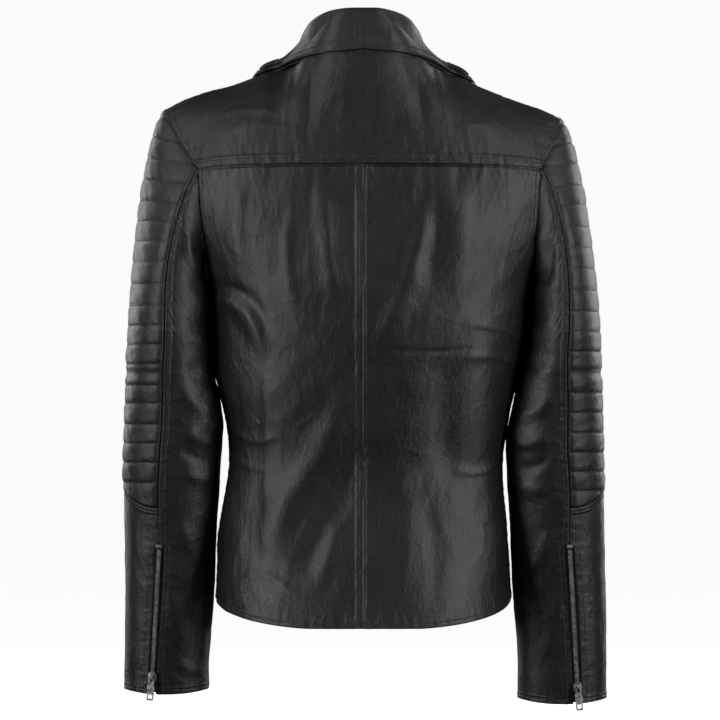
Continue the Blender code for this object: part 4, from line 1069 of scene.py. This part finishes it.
ARM_QUARTERS = 150
for side_name, side in SIDES.items():
    torso_bend = ("torso", "upper_sleeve_" + side_name, *shoulder_ramp(side))
    elbow_bend = ("upper_sleeve_" + side_name, "forearm_" + side_name, *elbow_ramp(side))
    forearm = "forearm_" + side_name
    us = lines(ARM_QUARTERS, 1.7)
    cuff = CUFF_Z[side]

    def strip(first, last, rows, side=side):
        """Surface between two seams, its rows from a function of (u, v)."""
        return lambda u, v: sleeve(turned(first, last, u, rows(u, v)), rows(u, v), side)

    def straight(top, foot):
        return lambda u, v: top + (foot - top) * v + 0 * u

    head_v = lines(245, 1.1, high=False)
    quilt_side = Edge(-0.9, 0.6, 1.0, (), 0, 0.15, 83)
    band = Edge(0.95, 5.6, 1.1, (4.6,), 0.35, 0.3, 84)
    armhole = Edge(-0.3, 2.0, 0.6, (), 0, 0.25, 85)
    top_row = HEAD_Z + HEAD_ROWS
    to_bend = straight(top_row, SHOULDER_END)
    upper = Panel("quilt_upper_" + side_name, strip(front_seam_turn, seam_turn, to_bend),
                  us, head_v, -side, LEATHER_QUILT_PAINTED_LIGHT, "quilted_leather", relief=quilt_relief(side, True),
                  low=armhole, first=quilt_side, last=quilt_side, thick=1.6)
    under = Panel("under_upper_" + side_name, strip(seam_turn, round_seam_turn, to_bend),
                  us, head_v, -side, LEATHER_BODY, "leather", relief=plain_relief(side),
                  low=armhole, first=band, last=band)
    lower_v = lines(145, 1.1, low=False)
    elbow_rows = lambda u, v: SHOULDER_END + (quilt_foot(u) - SHOULDER_END) * v
    elbow = Panel("quilt_lower_" + side_name, strip(front_seam_turn, seam_turn, elbow_rows), us, lower_v,
                  -side, LEATHER_QUILT_PAINTED_LIGHT, "quilted_leather", relief=quilt_relief(side, False, True),
                  high=Edge(-0.9, 0.6, 1.0, (), 0, 0.3, 86), first=quilt_side, last=quilt_side, thick=1.6)
    under_lower = Panel("under_elbow_" + side_name,
                        strip(seam_turn, round_seam_turn, straight(SHOULDER_END, ELBOW_END)), us,
                        np.linspace(0, 1, 86), -side, LEATHER_BODY, "leather",
                        relief=plain_relief(side), first=band, last=band)
    arm_v = lines(205, 1.7)
    cuff_edge = Edge(0.3, 6.5, 1.4, (5.4,), 0.4, 0.35, 87)
    zip_side = Edge(0.4, 7.0, 1.2, (6.2,), 0.35, 0.25, 88)
    outer_rows = lambda u, v, cuff=cuff: quilt_foot(u) + (cuff - quilt_foot(u)) * v
    outer = Panel("forearm_outer_skin_" + side_name,
                  strip(front_seam_turn, lambda r: seam_turn(r) - zip_gap(r), outer_rows), us, arm_v, -side,
                  LEATHER_BODY, "leather", relief=plain_relief(side),
                  low=Edge(0.95, 5.6, 1.1, (4.4,), 0.35, 0.3, 89), high=cuff_edge, first=quilt_side,
                  last=zip_side)
    inner = Panel("forearm_under_skin_" + side_name,
                  strip(lambda r: seam_turn(r) + zip_gap(r), round_seam_turn, straight(ELBOW_END, cuff)),
                  us, lines(205, 1.7, low=False), -side, LEATHER_BODY, "leather",
                  relief=plain_relief(side), high=cuff_edge, first=zip_side, last=band)
    for panel in (upper, under):
        panel.sew(torso_bend)
    for panel in (elbow, under_lower):
        panel.sew(elbow_bend)
    for panel in (outer, inner):
        panel.sew(forearm)
    for panel, where in ((upper, torso_bend), (elbow, elbow_bend)):
        base_field = channel(panel.place, side)
        for k in range(len(QUILT_LINES[side])):
            line = panel.level(base_field, k)
            if len(line) > 20:
                STITCHING.setdefault(where, []).append(line[4:-4])
    for panel, where, replaced in (
            (upper, torso_bend, ["sleeve_quilt_upper_" + side_name]),
            (elbow, elbow_bend, ["elbow_section_" + side_name, "sleeve_quilt_lower_" + side_name])):
        place_on(panel.obj, where)
        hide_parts(*replaced)
    sheet(under, torso_bend, ["sleeve_under_upper_" + side_name])
    sheet(under_lower, elbow_bend, [])
    sheet(outer, forearm, ["forearm_outer_" + side_name])
    sheet(inner, forearm, ["forearm_under_" + side_name])

    whole = lambda r: 0 * r
    round_turn = lambda r: 2 * math.pi + 0 * r
    for name, foot_row, where, replaced in (
            ("lining_upper_", (top_row - 4, SHOULDER_END), torso_bend, ["sleeve_lining_upper_" + side_name]),
            ("lining_elbow_", (SHOULDER_END, ELBOW_END), elbow_bend, []),
            ("lining_lower_", (ELBOW_END, cuff + 14), forearm, ["sleeve_lining_lower_" + side_name])):
        rows = int(abs(foot_row[1] - foot_row[0]) / 3)
        panel = Panel(name + side_name, strip(whole, round_turn, straight(*foot_row)),
                      np.linspace(0, 1, 90), np.linspace(0, 1, rows), -side, SATIN, "lining",
                      relief=lambda base, gaps: 0.7 * waves(64, (40, 70), base[..., 2], base[..., 1]),
                      lift=-LINING_OFFSET + 1.5, thick=0.5)
        sheet(panel, where, replaced)


# ---------------------------------------------------------------- small shapes made with operators
def shape_of(build):
    """Points and faces of a small shape, from a function that makes it in a bmesh."""
    made = bmesh.new()
    build(made)
    bmesh.ops.recalc_face_normals(made, faces=made.faces)
    points = np.array([v.co for v in made.verts])
    faces = [[v.index for v in face.verts] for face in made.faces]
    made.free()
    return points, faces


def copies(name, shape, frames, finish, smooth_faces=True):
    """One piece of many copies of a shape, each set by a 4 x 4 frame in millimetres."""
    points, faces = shape
    frames = np.asarray(frames)
    placed = np.einsum("nij,pj->npi", frames[:, :3, :3], points) + frames[:, None, :3, 3]
    order = [[i + n * len(points) for i in face] for n in range(len(frames)) for face in faces]
    mesh = bpy.data.meshes.new(name)
    mesh.from_pydata((placed.reshape(-1, 3) * MM).tolist(), [], order)
    return add(name, mesh, finish, smooth_faces)


def frame_at(place, along, normal, scale=(1, 1, 1)):
    x = along / max(np.linalg.norm(along), 1e-9)
    z = normal - x * normal.dot(x)
    z = z / max(np.linalg.norm(z), 1e-9)
    made = np.eye(4)
    made[:3, 0], made[:3, 1], made[:3, 2] = x * scale[0], np.cross(z, x) * scale[1], z * scale[2]
    made[:3, 3] = place
    return made


def stitch(made):
    bmesh.ops.create_uvsphere(made, u_segments=6, v_segments=5, radius=1.0,
                              matrix=Matrix.Rotation(math.pi / 2, 4, "Y"))
    bmesh.ops.scale(made, vec=(1.25, 0.42, 0.36), verts=made.verts)


STITCH_PITCH = 3.2


def stitch_frames(line):
    place = np.array([p for p, _ in line])
    normal = np.array([n for _, n in line])
    length = np.concatenate([[0], np.cumsum(np.linalg.norm(np.diff(place, axis=0), axis=1))])
    at = np.arange(STITCH_PITCH / 2, length[-1], STITCH_PITCH)
    pick = lambda rows, q: np.stack([np.interp(q, length, rows[:, k]) for k in range(3)], -1)
    here, ahead, behind = pick(place, at), pick(place, at + 1.3), pick(place, at - 1.3)
    up = pick(normal, at)
    return [frame_at((a + b) / 2 * 0.5 + h * 0.5 + n * 0.2, a - b, n)
            for h, a, b, n in zip(here, ahead, behind, up)]


def thicken(made, faces, height, bevel, segments, corner):
    """Raises flat faces and softens the edges that turn by more than the corner angle."""
    lifted = bmesh.ops.extrude_face_region(made, geom=faces)["geom"]
    bmesh.ops.translate(made, verts=[g for g in lifted if isinstance(g, bmesh.types.BMVert)],
                        vec=(0, 0, height))
    if bevel:
        bmesh.ops.recalc_face_normals(made, faces=made.faces)
        sharp = [e for e in made.edges if len(e.link_faces) == 2 and e.calc_face_angle() > corner]
        bmesh.ops.bevel(made, geom=sharp, offset=bevel, segments=segments, profile=0.5,
                        affect="EDGES", material=-1, offset_type="OFFSET", clamp_overlap=True)


def prism(outline, low, high, bevel=0.0, segments=2):
    """A flat outline of (along, across) points raised from low to high, its corners softened."""
    def build(made):
        face = made.faces.new([made.verts.new((u, v, low)) for u, v in outline])
        thicken(made, [face], high - low, bevel, segments, 0.35)
    return build


def box_outline(u0, u1, v0, v1):
    return [(u0, v0), (u1, v0), (u1, v1), (u0, v1)]


def ring_plate(outer, inner, low, high, bevel=0.18):
    """A plate between two outlines with the same number of points."""
    def build(made):
        rings = [[made.verts.new((u, v, low)) for u, v in ring] for ring in (outer, inner)]
        edges = []
        for ring in rings:
            edges += [made.edges.new((ring[k], ring[(k + 1) % len(ring)])) for k in range(len(ring))]
        flat = bmesh.ops.bridge_loops(made, edges=edges)["faces"]
        thicken(made, flat, high - low, bevel, 2, 0.5)
    return build


def joined(*shapes):
    """Points and faces of several shapes as one."""
    points, faces = [], []
    for own_points, own_faces in shapes:
        start = sum(len(p) for p in points)
        points.append(own_points)
        faces += [[i + start for i in face] for face in own_faces]
    return np.concatenate(points), faces


# ---------------------------------------------------------------- zips
def placed(at, along, normal):
    x = Vector(along).normalized()
    z = Vector(normal)
    z = (z - x * z.dot(x)).normalized()
    turned_by = Matrix((x, z.cross(x), z)).transposed().to_4x4()
    return Matrix.Translation(Vector(at)) @ turned_by


def zip_line(surface, away, half_width):
    """Frame at the foot of a straight zip laid on a surface, its x along it, and its length."""
    foot, head = Vector(surface(0, 0)), Vector(surface(1, 0))
    away = Vector(away).normalized()
    lift = max((Vector(surface(k / 20, w)) - foot.lerp(head, k / 20)).dot(away)
               for k in range(21) for w in (-half_width, 0, half_width))
    return placed(foot + away * (lift + 0.4), head - foot, away), (head - foot).length


def shifted(matrix, *offset):
    return matrix @ Matrix.Translation(offset)


def metal(name, shape, frames, body, replaced, smooth_faces=False):
    """A metal piece that moves with a body and stands for a node."""
    piece = copies(name, shape, frames, METAL, smooth_faces)
    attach(piece, body)
    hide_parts(replaced)


def zip_teeth(name, matrix, start, length, scale, body, replaced):
    pitch = 2.1 * scale
    half = ZIP_TEETH_WIDTH / 2 * scale
    wide, narrow = .42 * pitch, .30 * pitch
    outline = [(-wide, -.5), (-narrow, -.9), (-narrow, -half), (narrow, -half), (narrow, -.9),
               (wide, -.5), (narrow, .55), (-narrow, .55)]
    tooth = shape_of(prism(outline, 0, ZIP_TEETH_HEIGHT * scale * 0.78, 0.16 * scale, 1))
    frames = []
    for k in range(int(length / pitch)):
        for way in (1, -1):
            at = matrix @ Matrix.Translation((start + (k + (0.5 if way < 0 else 0)) * pitch, 0, 1.15))
            frames.append(np.array(at @ Matrix.Rotation(0 if way > 0 else math.pi, 4, "Z")))
    metal(name, tooth, frames, body, replaced)


def zip_slider(name, matrix, scale, body, replaced):
    s = scale
    plan = [(-5.6, -2.9), (-4.6, -4.3), (-1, -4.6), (2.5, -4.4), (5.2, -3.4), (5.8, -1.8), (5.8, 1.8),
            (5.2, 3.4), (2.5, 4.4), (-1, 4.6), (-4.6, 4.3), (-5.6, 2.9)]
    plan = [(u * s, v * s) for u, v in plan]
    top = 1.0 + 4.1 * s
    inset = [(u * 0.72, v * 0.6) for u, v in plan]
    wide = ZIP_TEETH_WIDTH / 2 * s + 0.4
    parts = [
        shape_of(prism(plan, top - 1.3 * s, top - 0.35 * s, 0.3 * s)),
        shape_of(prism(inset, top - 0.5 * s, top + 0.1, 0.3 * s)),
        shape_of(prism(plan, 0.15, 0.7, 0.15)),
        shape_of(prism(box_outline(-4.6 * s, 5.0 * s, wide, 4.2 * s), 0.6, top - 0.9 * s, 0.2)),
        shape_of(prism(box_outline(-4.6 * s, 5.0 * s, -4.2 * s, -wide), 0.6, top - 0.9 * s, 0.2)),
        shape_of(lambda made: crown(made, s, top))]
    metal(name, joined(*parts), [np.array(matrix)], body, replaced)


def crown(made, s, top):
    """The bridge that holds the pull: a strip bent over in a half round."""
    start = [made.verts.new((-3.4 * s, v * s, top - 0.2)) for v in (-1.15, 1.15)]
    start += [made.verts.new((-4.2 * s, v * s, top - 0.2)) for v in (1.15, -1.15)]
    face = made.faces.new(start)
    bmesh.ops.spin(made, geom=[face, *face.edges, *start], cent=(0, 0, top - 0.2), axis=(0, 1, 0),
                   angle=math.pi, steps=14, use_duplicate=False)
    bmesh.ops.scale(made, vec=(1, 1, 0.78), space=Matrix.Translation((0, 0, -(top - 0.2))),
                    verts=made.verts)


def zip_puller(name, matrix, length, width, scale, body, replaced):
    s = scale
    at = shifted(matrix, 0, 0, 1.0 + 4.1 * s + 1.05 * s)
    down = at.to_3x3().transposed() @ Vector((0, 0, -1))
    at = at @ Matrix.Rotation(max(0.0, math.atan2(down.z, -down.x)), 4, "Y")
    half = width / 2
    eye_outer = [(0.75, -3.0), (0.75, 3.0), (-5.4, 3.0), (-6.4, 2.2), (-6.4, -2.2), (-5.4, -3.0)]
    eye_inner = [(-0.75, -1.75), (-0.75, 1.75), (-4.6, 1.75), (-5.0, 1.4), (-5.0, -1.4), (-4.6, -1.75)]
    plate_outer = [(-6.0, -half), (-6.0, half), (-length + 1, half), (-length, half - 1),
                   (-length, -half + 1), (-length + 1, -half)]
    window = [(-length + 6.4, -2.1), (-length + 6.4, 2.1), (-length + 2.6, 2.1), (-length + 2.2, 1.7),
              (-length + 2.2, -1.7), (-length + 2.6, -2.1)]
    sized = lambda ring: [(u * s, v * s) for u, v in ring]
    rim_in = [(u + (0.7 if u < -length / 2 else -0.7), v * (1 - 0.7 / half)) for u, v in plate_outer]
    parts = [shape_of(ring_plate(sized(eye_outer), sized(eye_inner), -0.6 * s, 0.6 * s, 0.25 * s)),
             shape_of(ring_plate(sized(plate_outer), sized(window), -0.42 * s, 0.42 * s, 0.12 * s)),
             shape_of(ring_plate(sized(plate_outer), sized(rim_in), -0.6 * s, 0.6 * s, 0.12 * s))]
    for k in range(5):  # plain raised bars across the plate
        u = -8.2 - k * (length - 17.0) / 5
        for face in (1, -1):
            low, high = (0.35, 0.62) if face > 0 else (-0.62, -0.35)
            parts.append(shape_of(prism(sized(box_outline(u - 0.9, u, -half + 1.7, half - 1.7)),
                                        low * s, high * s, 0.1 * s, 1)))
    metal(name, joined(*parts), [np.array(at)], body, replaced)


def zip_stop(name, matrix, along, scale, body, replaced):
    half = 3.1 * scale
    block = prism(box_outline(along, along + 3.2, -half, half), 1.0, 1.0 + 2.4 * scale, 0.5)
    metal(name, shape_of(block), [np.array(matrix)], body, replaced)


def line_on_front(foot, head):
    def point(t, aside=0.0):
        x = foot[0] + (head[0] - foot[0]) * t + aside
        z = foot[1] + (head[1] - foot[1]) * t
        return np.stack(np.broadcast_arrays(x, front_y(x, z), z), -1)
    return point


FRONT_SCALE = 1.25
front_line = line_on_front(ZIP_FOOT, BREAK)
front_zip, front_length = zip_line(front_line, (0, -1, 0), 6)
zip_teeth("front_teeth", front_zip, 0, front_length - 8, FRONT_SCALE, "torso", "front_zip_teeth")
zip_stop("front_stop", front_zip, -5.6, FRONT_SCALE, "torso", "front_zip_stop")
run = shifted(front_zip, front_length - 6, 0, 0)
zip_slider("front_runner", run, FRONT_SCALE, "front_slider", "front_zip_slider")
zip_puller("front_tab", run, 30, 8, FRONT_SCALE, "front_pull", "front_zip_puller")
tape = Panel("front_tape", lambda u, v: front_line(v, share(u, -13, 13)), np.linspace(0, 1, 30),
             np.linspace(0, 0.985, 260), 1, TAPE, "zip_tape", lift=-0.4, thick=0.8)
sheet(tape, "torso", ["front_zip_tape"])

for side_name, side in SIDES.items():
    pocket_line = line_on_front((side * 78, -452.0), (side * 100, -560.0))
    pocket, length = zip_line(pocket_line, (side * 0.5, -1, 0), 20)
    zip_teeth("pocket_teeth_" + side_name, pocket, 6, length - 6, 1.0, "torso",
              "pocket_zip_teeth_" + side_name)
    rim = [(-9, -9), (length + 5, -9), (length + 7, 0), (length + 5, 9), (-9, 9), (-11, 0)]
    slot_rim = [(-3, -3.6), (length - 1, -3.6), (length, 0), (length - 1, 3.6), (-3, 3.6), (-4, 0)]
    welt = copies("pocket_surround_" + side_name, shape_of(ring_plate(rim, slot_rim, -1.6, 1.5, 0.7)),
                  [np.array(pocket)], LEATHER_COLLAR, True)
    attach(welt, "torso")
    backing = copies("pocket_tape_" + side_name, shape_of(prism(
        [(u * 0.99, v * 0.7) for u, v in rim], -0.7, 0.1)), [np.array(pocket)], TAPE, False)
    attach(backing, "torso")
    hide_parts("pocket_welt_" + side_name)
    seam = [np.array(pocket @ Vector((u, v, 1.35))) for u, v in
            [(-6, -6.4), (length + 3, -6.4), (length + 4, 0), (length + 3, 6.4), (-6, 6.4), (-7.5, 0),
             (-6, -6.4)]]
    up = np.array(pocket.to_3x3() @ Vector((0, 0, 1)))
    STITCHING.setdefault("torso", []).append([(p, up) for p in seam])
    run = shifted(pocket, 4, 0, 0)
    zip_slider("pocket_runner_" + side_name, run, 1.0, "pocket_slider_" + side_name,
               "pocket_slider_" + side_name)
    zip_puller("pocket_tab_" + side_name, run @ Matrix.Rotation(math.pi, 4, "Z"), 24.0, 7.5, 1.0,
               "pocket_pull_" + side_name, "pocket_puller_" + side_name)

    cuff = CUFF_Z[side]
    top, low = CUFF_ZIP_TOP_Z, cuff + 12.0

    def on_seam(t, aside=0.0, low=low, top=top, side=side):
        z = low + (top - low) * t
        return sleeve(seam_turn(z) + aside / 45, z, side)

    across = Vector(on_seam(0.5, 3) - on_seam(0.5))
    away = across.cross(Vector(on_seam(1.0) - on_seam(0.0)))
    cuff_zip, length = zip_line(on_seam, away if away.y > 0 else -away, 4)
    zip_teeth("cuff_teeth_" + side_name, cuff_zip, 0, length, 1.0, "forearm_" + side_name,
              "cuff_zip_teeth_" + side_name)
    zip_stop("cuff_stop_" + side_name, cuff_zip, length + 1.4, 1.0, "forearm_" + side_name,
             "cuff_zip_stop_" + side_name)
    tape = Panel("cuff_tape_" + side_name, lambda u, v, side=side: sleeve(
        seam_turn(v) + share(u, -.24, .24), v, side), np.linspace(0, 1, 24),
        np.linspace(cuff + 2, top + 12, 110), side, TAPE, "zip_tape", lift=-1.6, thick=0.6)
    sheet(tape, "forearm_" + side_name, ["cuff_zip_tape_" + side_name])
    run = shifted(cuff_zip, 6, 0, 0)
    zip_slider("cuff_runner_" + side_name, run, 1.0, "cuff_slider_" + side_name,
               "cuff_zip_slider_" + side_name)
    zip_puller("cuff_tab_" + side_name, run, 24.0, 7.5, 1.0, "cuff_pull_" + side_name,
               "cuff_zip_puller_" + side_name)


# ---------------------------------------------------------------- snaps, label and hanger loop
def snap_cap(made):
    """A domed cap with a rolled rim, turned about its axis."""
    profile = [(0, 2.1), (2.4, 2.0), (4.0, 1.6), (4.6, 1.1), (5.0, 1.25), (5.7, 1.3), (6.3, 0.9),
               (6.4, 0.2), (6.3, 0.0)]
    verts = [made.verts.new((r, 0, h)) for r, h in profile]
    edges = [made.edges.new(pair) for pair in zip(verts, verts[1:])]
    bmesh.ops.spin(made, geom=[*verts, *edges], cent=(0, 0, 0), axis=(0, 0, 1), angle=2 * math.pi,
                   steps=36, use_merge=True)
    bmesh.ops.remove_doubles(made, verts=made.verts, dist=0.001)
    rim = [e for e in made.edges if e.is_boundary]
    bmesh.ops.holes_fill(made, edges=rim, sides=0)


CAP = shape_of(snap_cap)
for side_name, side in SIDES.items():
    x, z = BREAK[0] * 0.25 + GORGE[side][0] * 0.75 + side * 62, -142.0
    at = placed((x, float(front_y(x, z)) - 5.6, z), (1, 0, 0.1), (side * 0.32, -1, 0.12))
    metal("snap_cap_" + side_name, CAP, [np.array(at)], "lapel_" + side_name,
          "lapel_snap_" + side_name, True)

loop_line = path((0, -26, 52.0, 4.0), (.2, -18, 46, -3), (.5, 0, 42, -7), (.8, 18, 46, -3), (1, 26, 52, 4))
loop = Panel("hang_loop", lambda u, v: loop_line(v.ravel())[:, None, :] + share(u, -2.6, 2.6)[..., None]
             * np.array([0, 0.35, 0.93]), lines(5, 0.7, False, False), np.linspace(0, 1, 60), 1, TAPE,
             "zip_tape", thick=1.2)
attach(loop.obj, "torso")
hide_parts("hanger_loop")
label = Panel("blank_neck_label", lambda u, v: back(share(u, -.14, .14), share(v, -64, -46)),
              np.linspace(0, 1, 60), np.linspace(0, 1, 30), -1, LABEL, "label",
              lift=-LINING_OFFSET - 1.2, thick=0.5)
sheet(label, "torso", ["neck_label"])

STITCH = shape_of(stitch)
for where, runs in STITCHING.items():
    frames = [f for line in runs if len(line) > 1 for f in stitch_frames(line)]
    name = "stitching_" + (where if isinstance(where, str) else where[1] + "_bend")
    place_on(copies(name, STITCH, frames, THREAD), where)


# ---------------------------------------------------------------- camera, floor and light
DISTANCE = 9.0
camera = bpy.data.objects.new("camera", bpy.data.cameras.new("camera"))
bpy.context.collection.objects.link(camera)
camera.location = (0.0043, DISTANCE, -0.331)
camera.rotation_euler = (math.pi / 2, 0, math.pi)
camera.data.sensor_width = 36
camera.data.lens = 36 * DISTANCE / 0.774
bpy.context.scene.camera = camera

made = bmesh.new()
sweep = [(26 + 6 * math.sin(t), 5.21 - 6 * math.cos(t)) for t in np.linspace(0, math.pi / 2, 13)]
rim = [made.verts.new((r, 0, z)) for r, z in [(0.0, -0.79), (3.0, -0.79), *sweep, (32.0, 40.0)]]
edges = [made.edges.new(pair) for pair in zip(rim, rim[1:])]
bmesh.ops.spin(made, geom=[*rim, *edges], cent=(0, 0, 0), axis=(0, 0, 1), angle=2 * math.pi, steps=64,
               use_merge=True)
bmesh.ops.remove_doubles(made, verts=made.verts, dist=0.0001)
bmesh.ops.recalc_face_normals(made, faces=made.faces)
bmesh.ops.reverse_faces(made, faces=made.faces)
floor_mesh = bpy.data.meshes.new("floor")
made.to_mesh(floor_mesh)
made.free()
floor = bpy.data.objects.new("floor", floor_mesh)
bpy.context.collection.objects.link(floor)
floor_mesh.materials.append(paper_finish("pale_floor", 0.86, 0.93))
floor_mesh.polygons.foreach_set("use_smooth", [True] * len(floor_mesh.polygons))
floor.visible_glossy = False
floor.visible_diffuse = False


def softbox(name, place, aim, size, power):
    light = bpy.data.lights.new(name, "AREA")
    light.shape = "RECTANGLE"
    light.size, light.size_y, light.energy = *size, power
    obj = bpy.data.objects.new(name, light)
    bpy.context.collection.objects.link(obj)
    obj.location = place
    obj.rotation_euler = (Vector(aim) - Vector(place)).to_track_quat("-Z", "Y").to_euler()


softbox("left_softbox", (1.9, 1.5, -0.15), (0.05, 0, -0.33), (0.8, 2.2), 40)
softbox("right_softbox", (-1.9, 1.5, -0.15), (-0.05, 0, -0.33), (0.8, 2.2), 40)
softbox("top_left_softbox", (1.35, 0.7, 1.5), (0.1, 0, -0.1), (0.8, 0.9), 9)
softbox("top_right_softbox", (-1.35, 0.7, 1.5), (-0.1, 0, -0.1), (0.8, 0.9), 10)
softbox("front_left_softbox", (1.8, -2.0, 0.3), (0, 0, -0.33), (1.0, 1.8), 26)
softbox("front_right_softbox", (-1.8, -2.0, 0.3), (0, 0, -0.33), (1.0, 1.8), 26)
world = bpy.data.worlds.new("studio")
bpy.context.scene.world = world
world.use_nodes = True
world.node_tree.nodes["Background"].inputs["Color"].default_value = (1, 1, 1, 1)
world.node_tree.nodes["Background"].inputs["Strength"].default_value = 0.035
bpy.context.scene.view_settings.view_transform = "Standard"
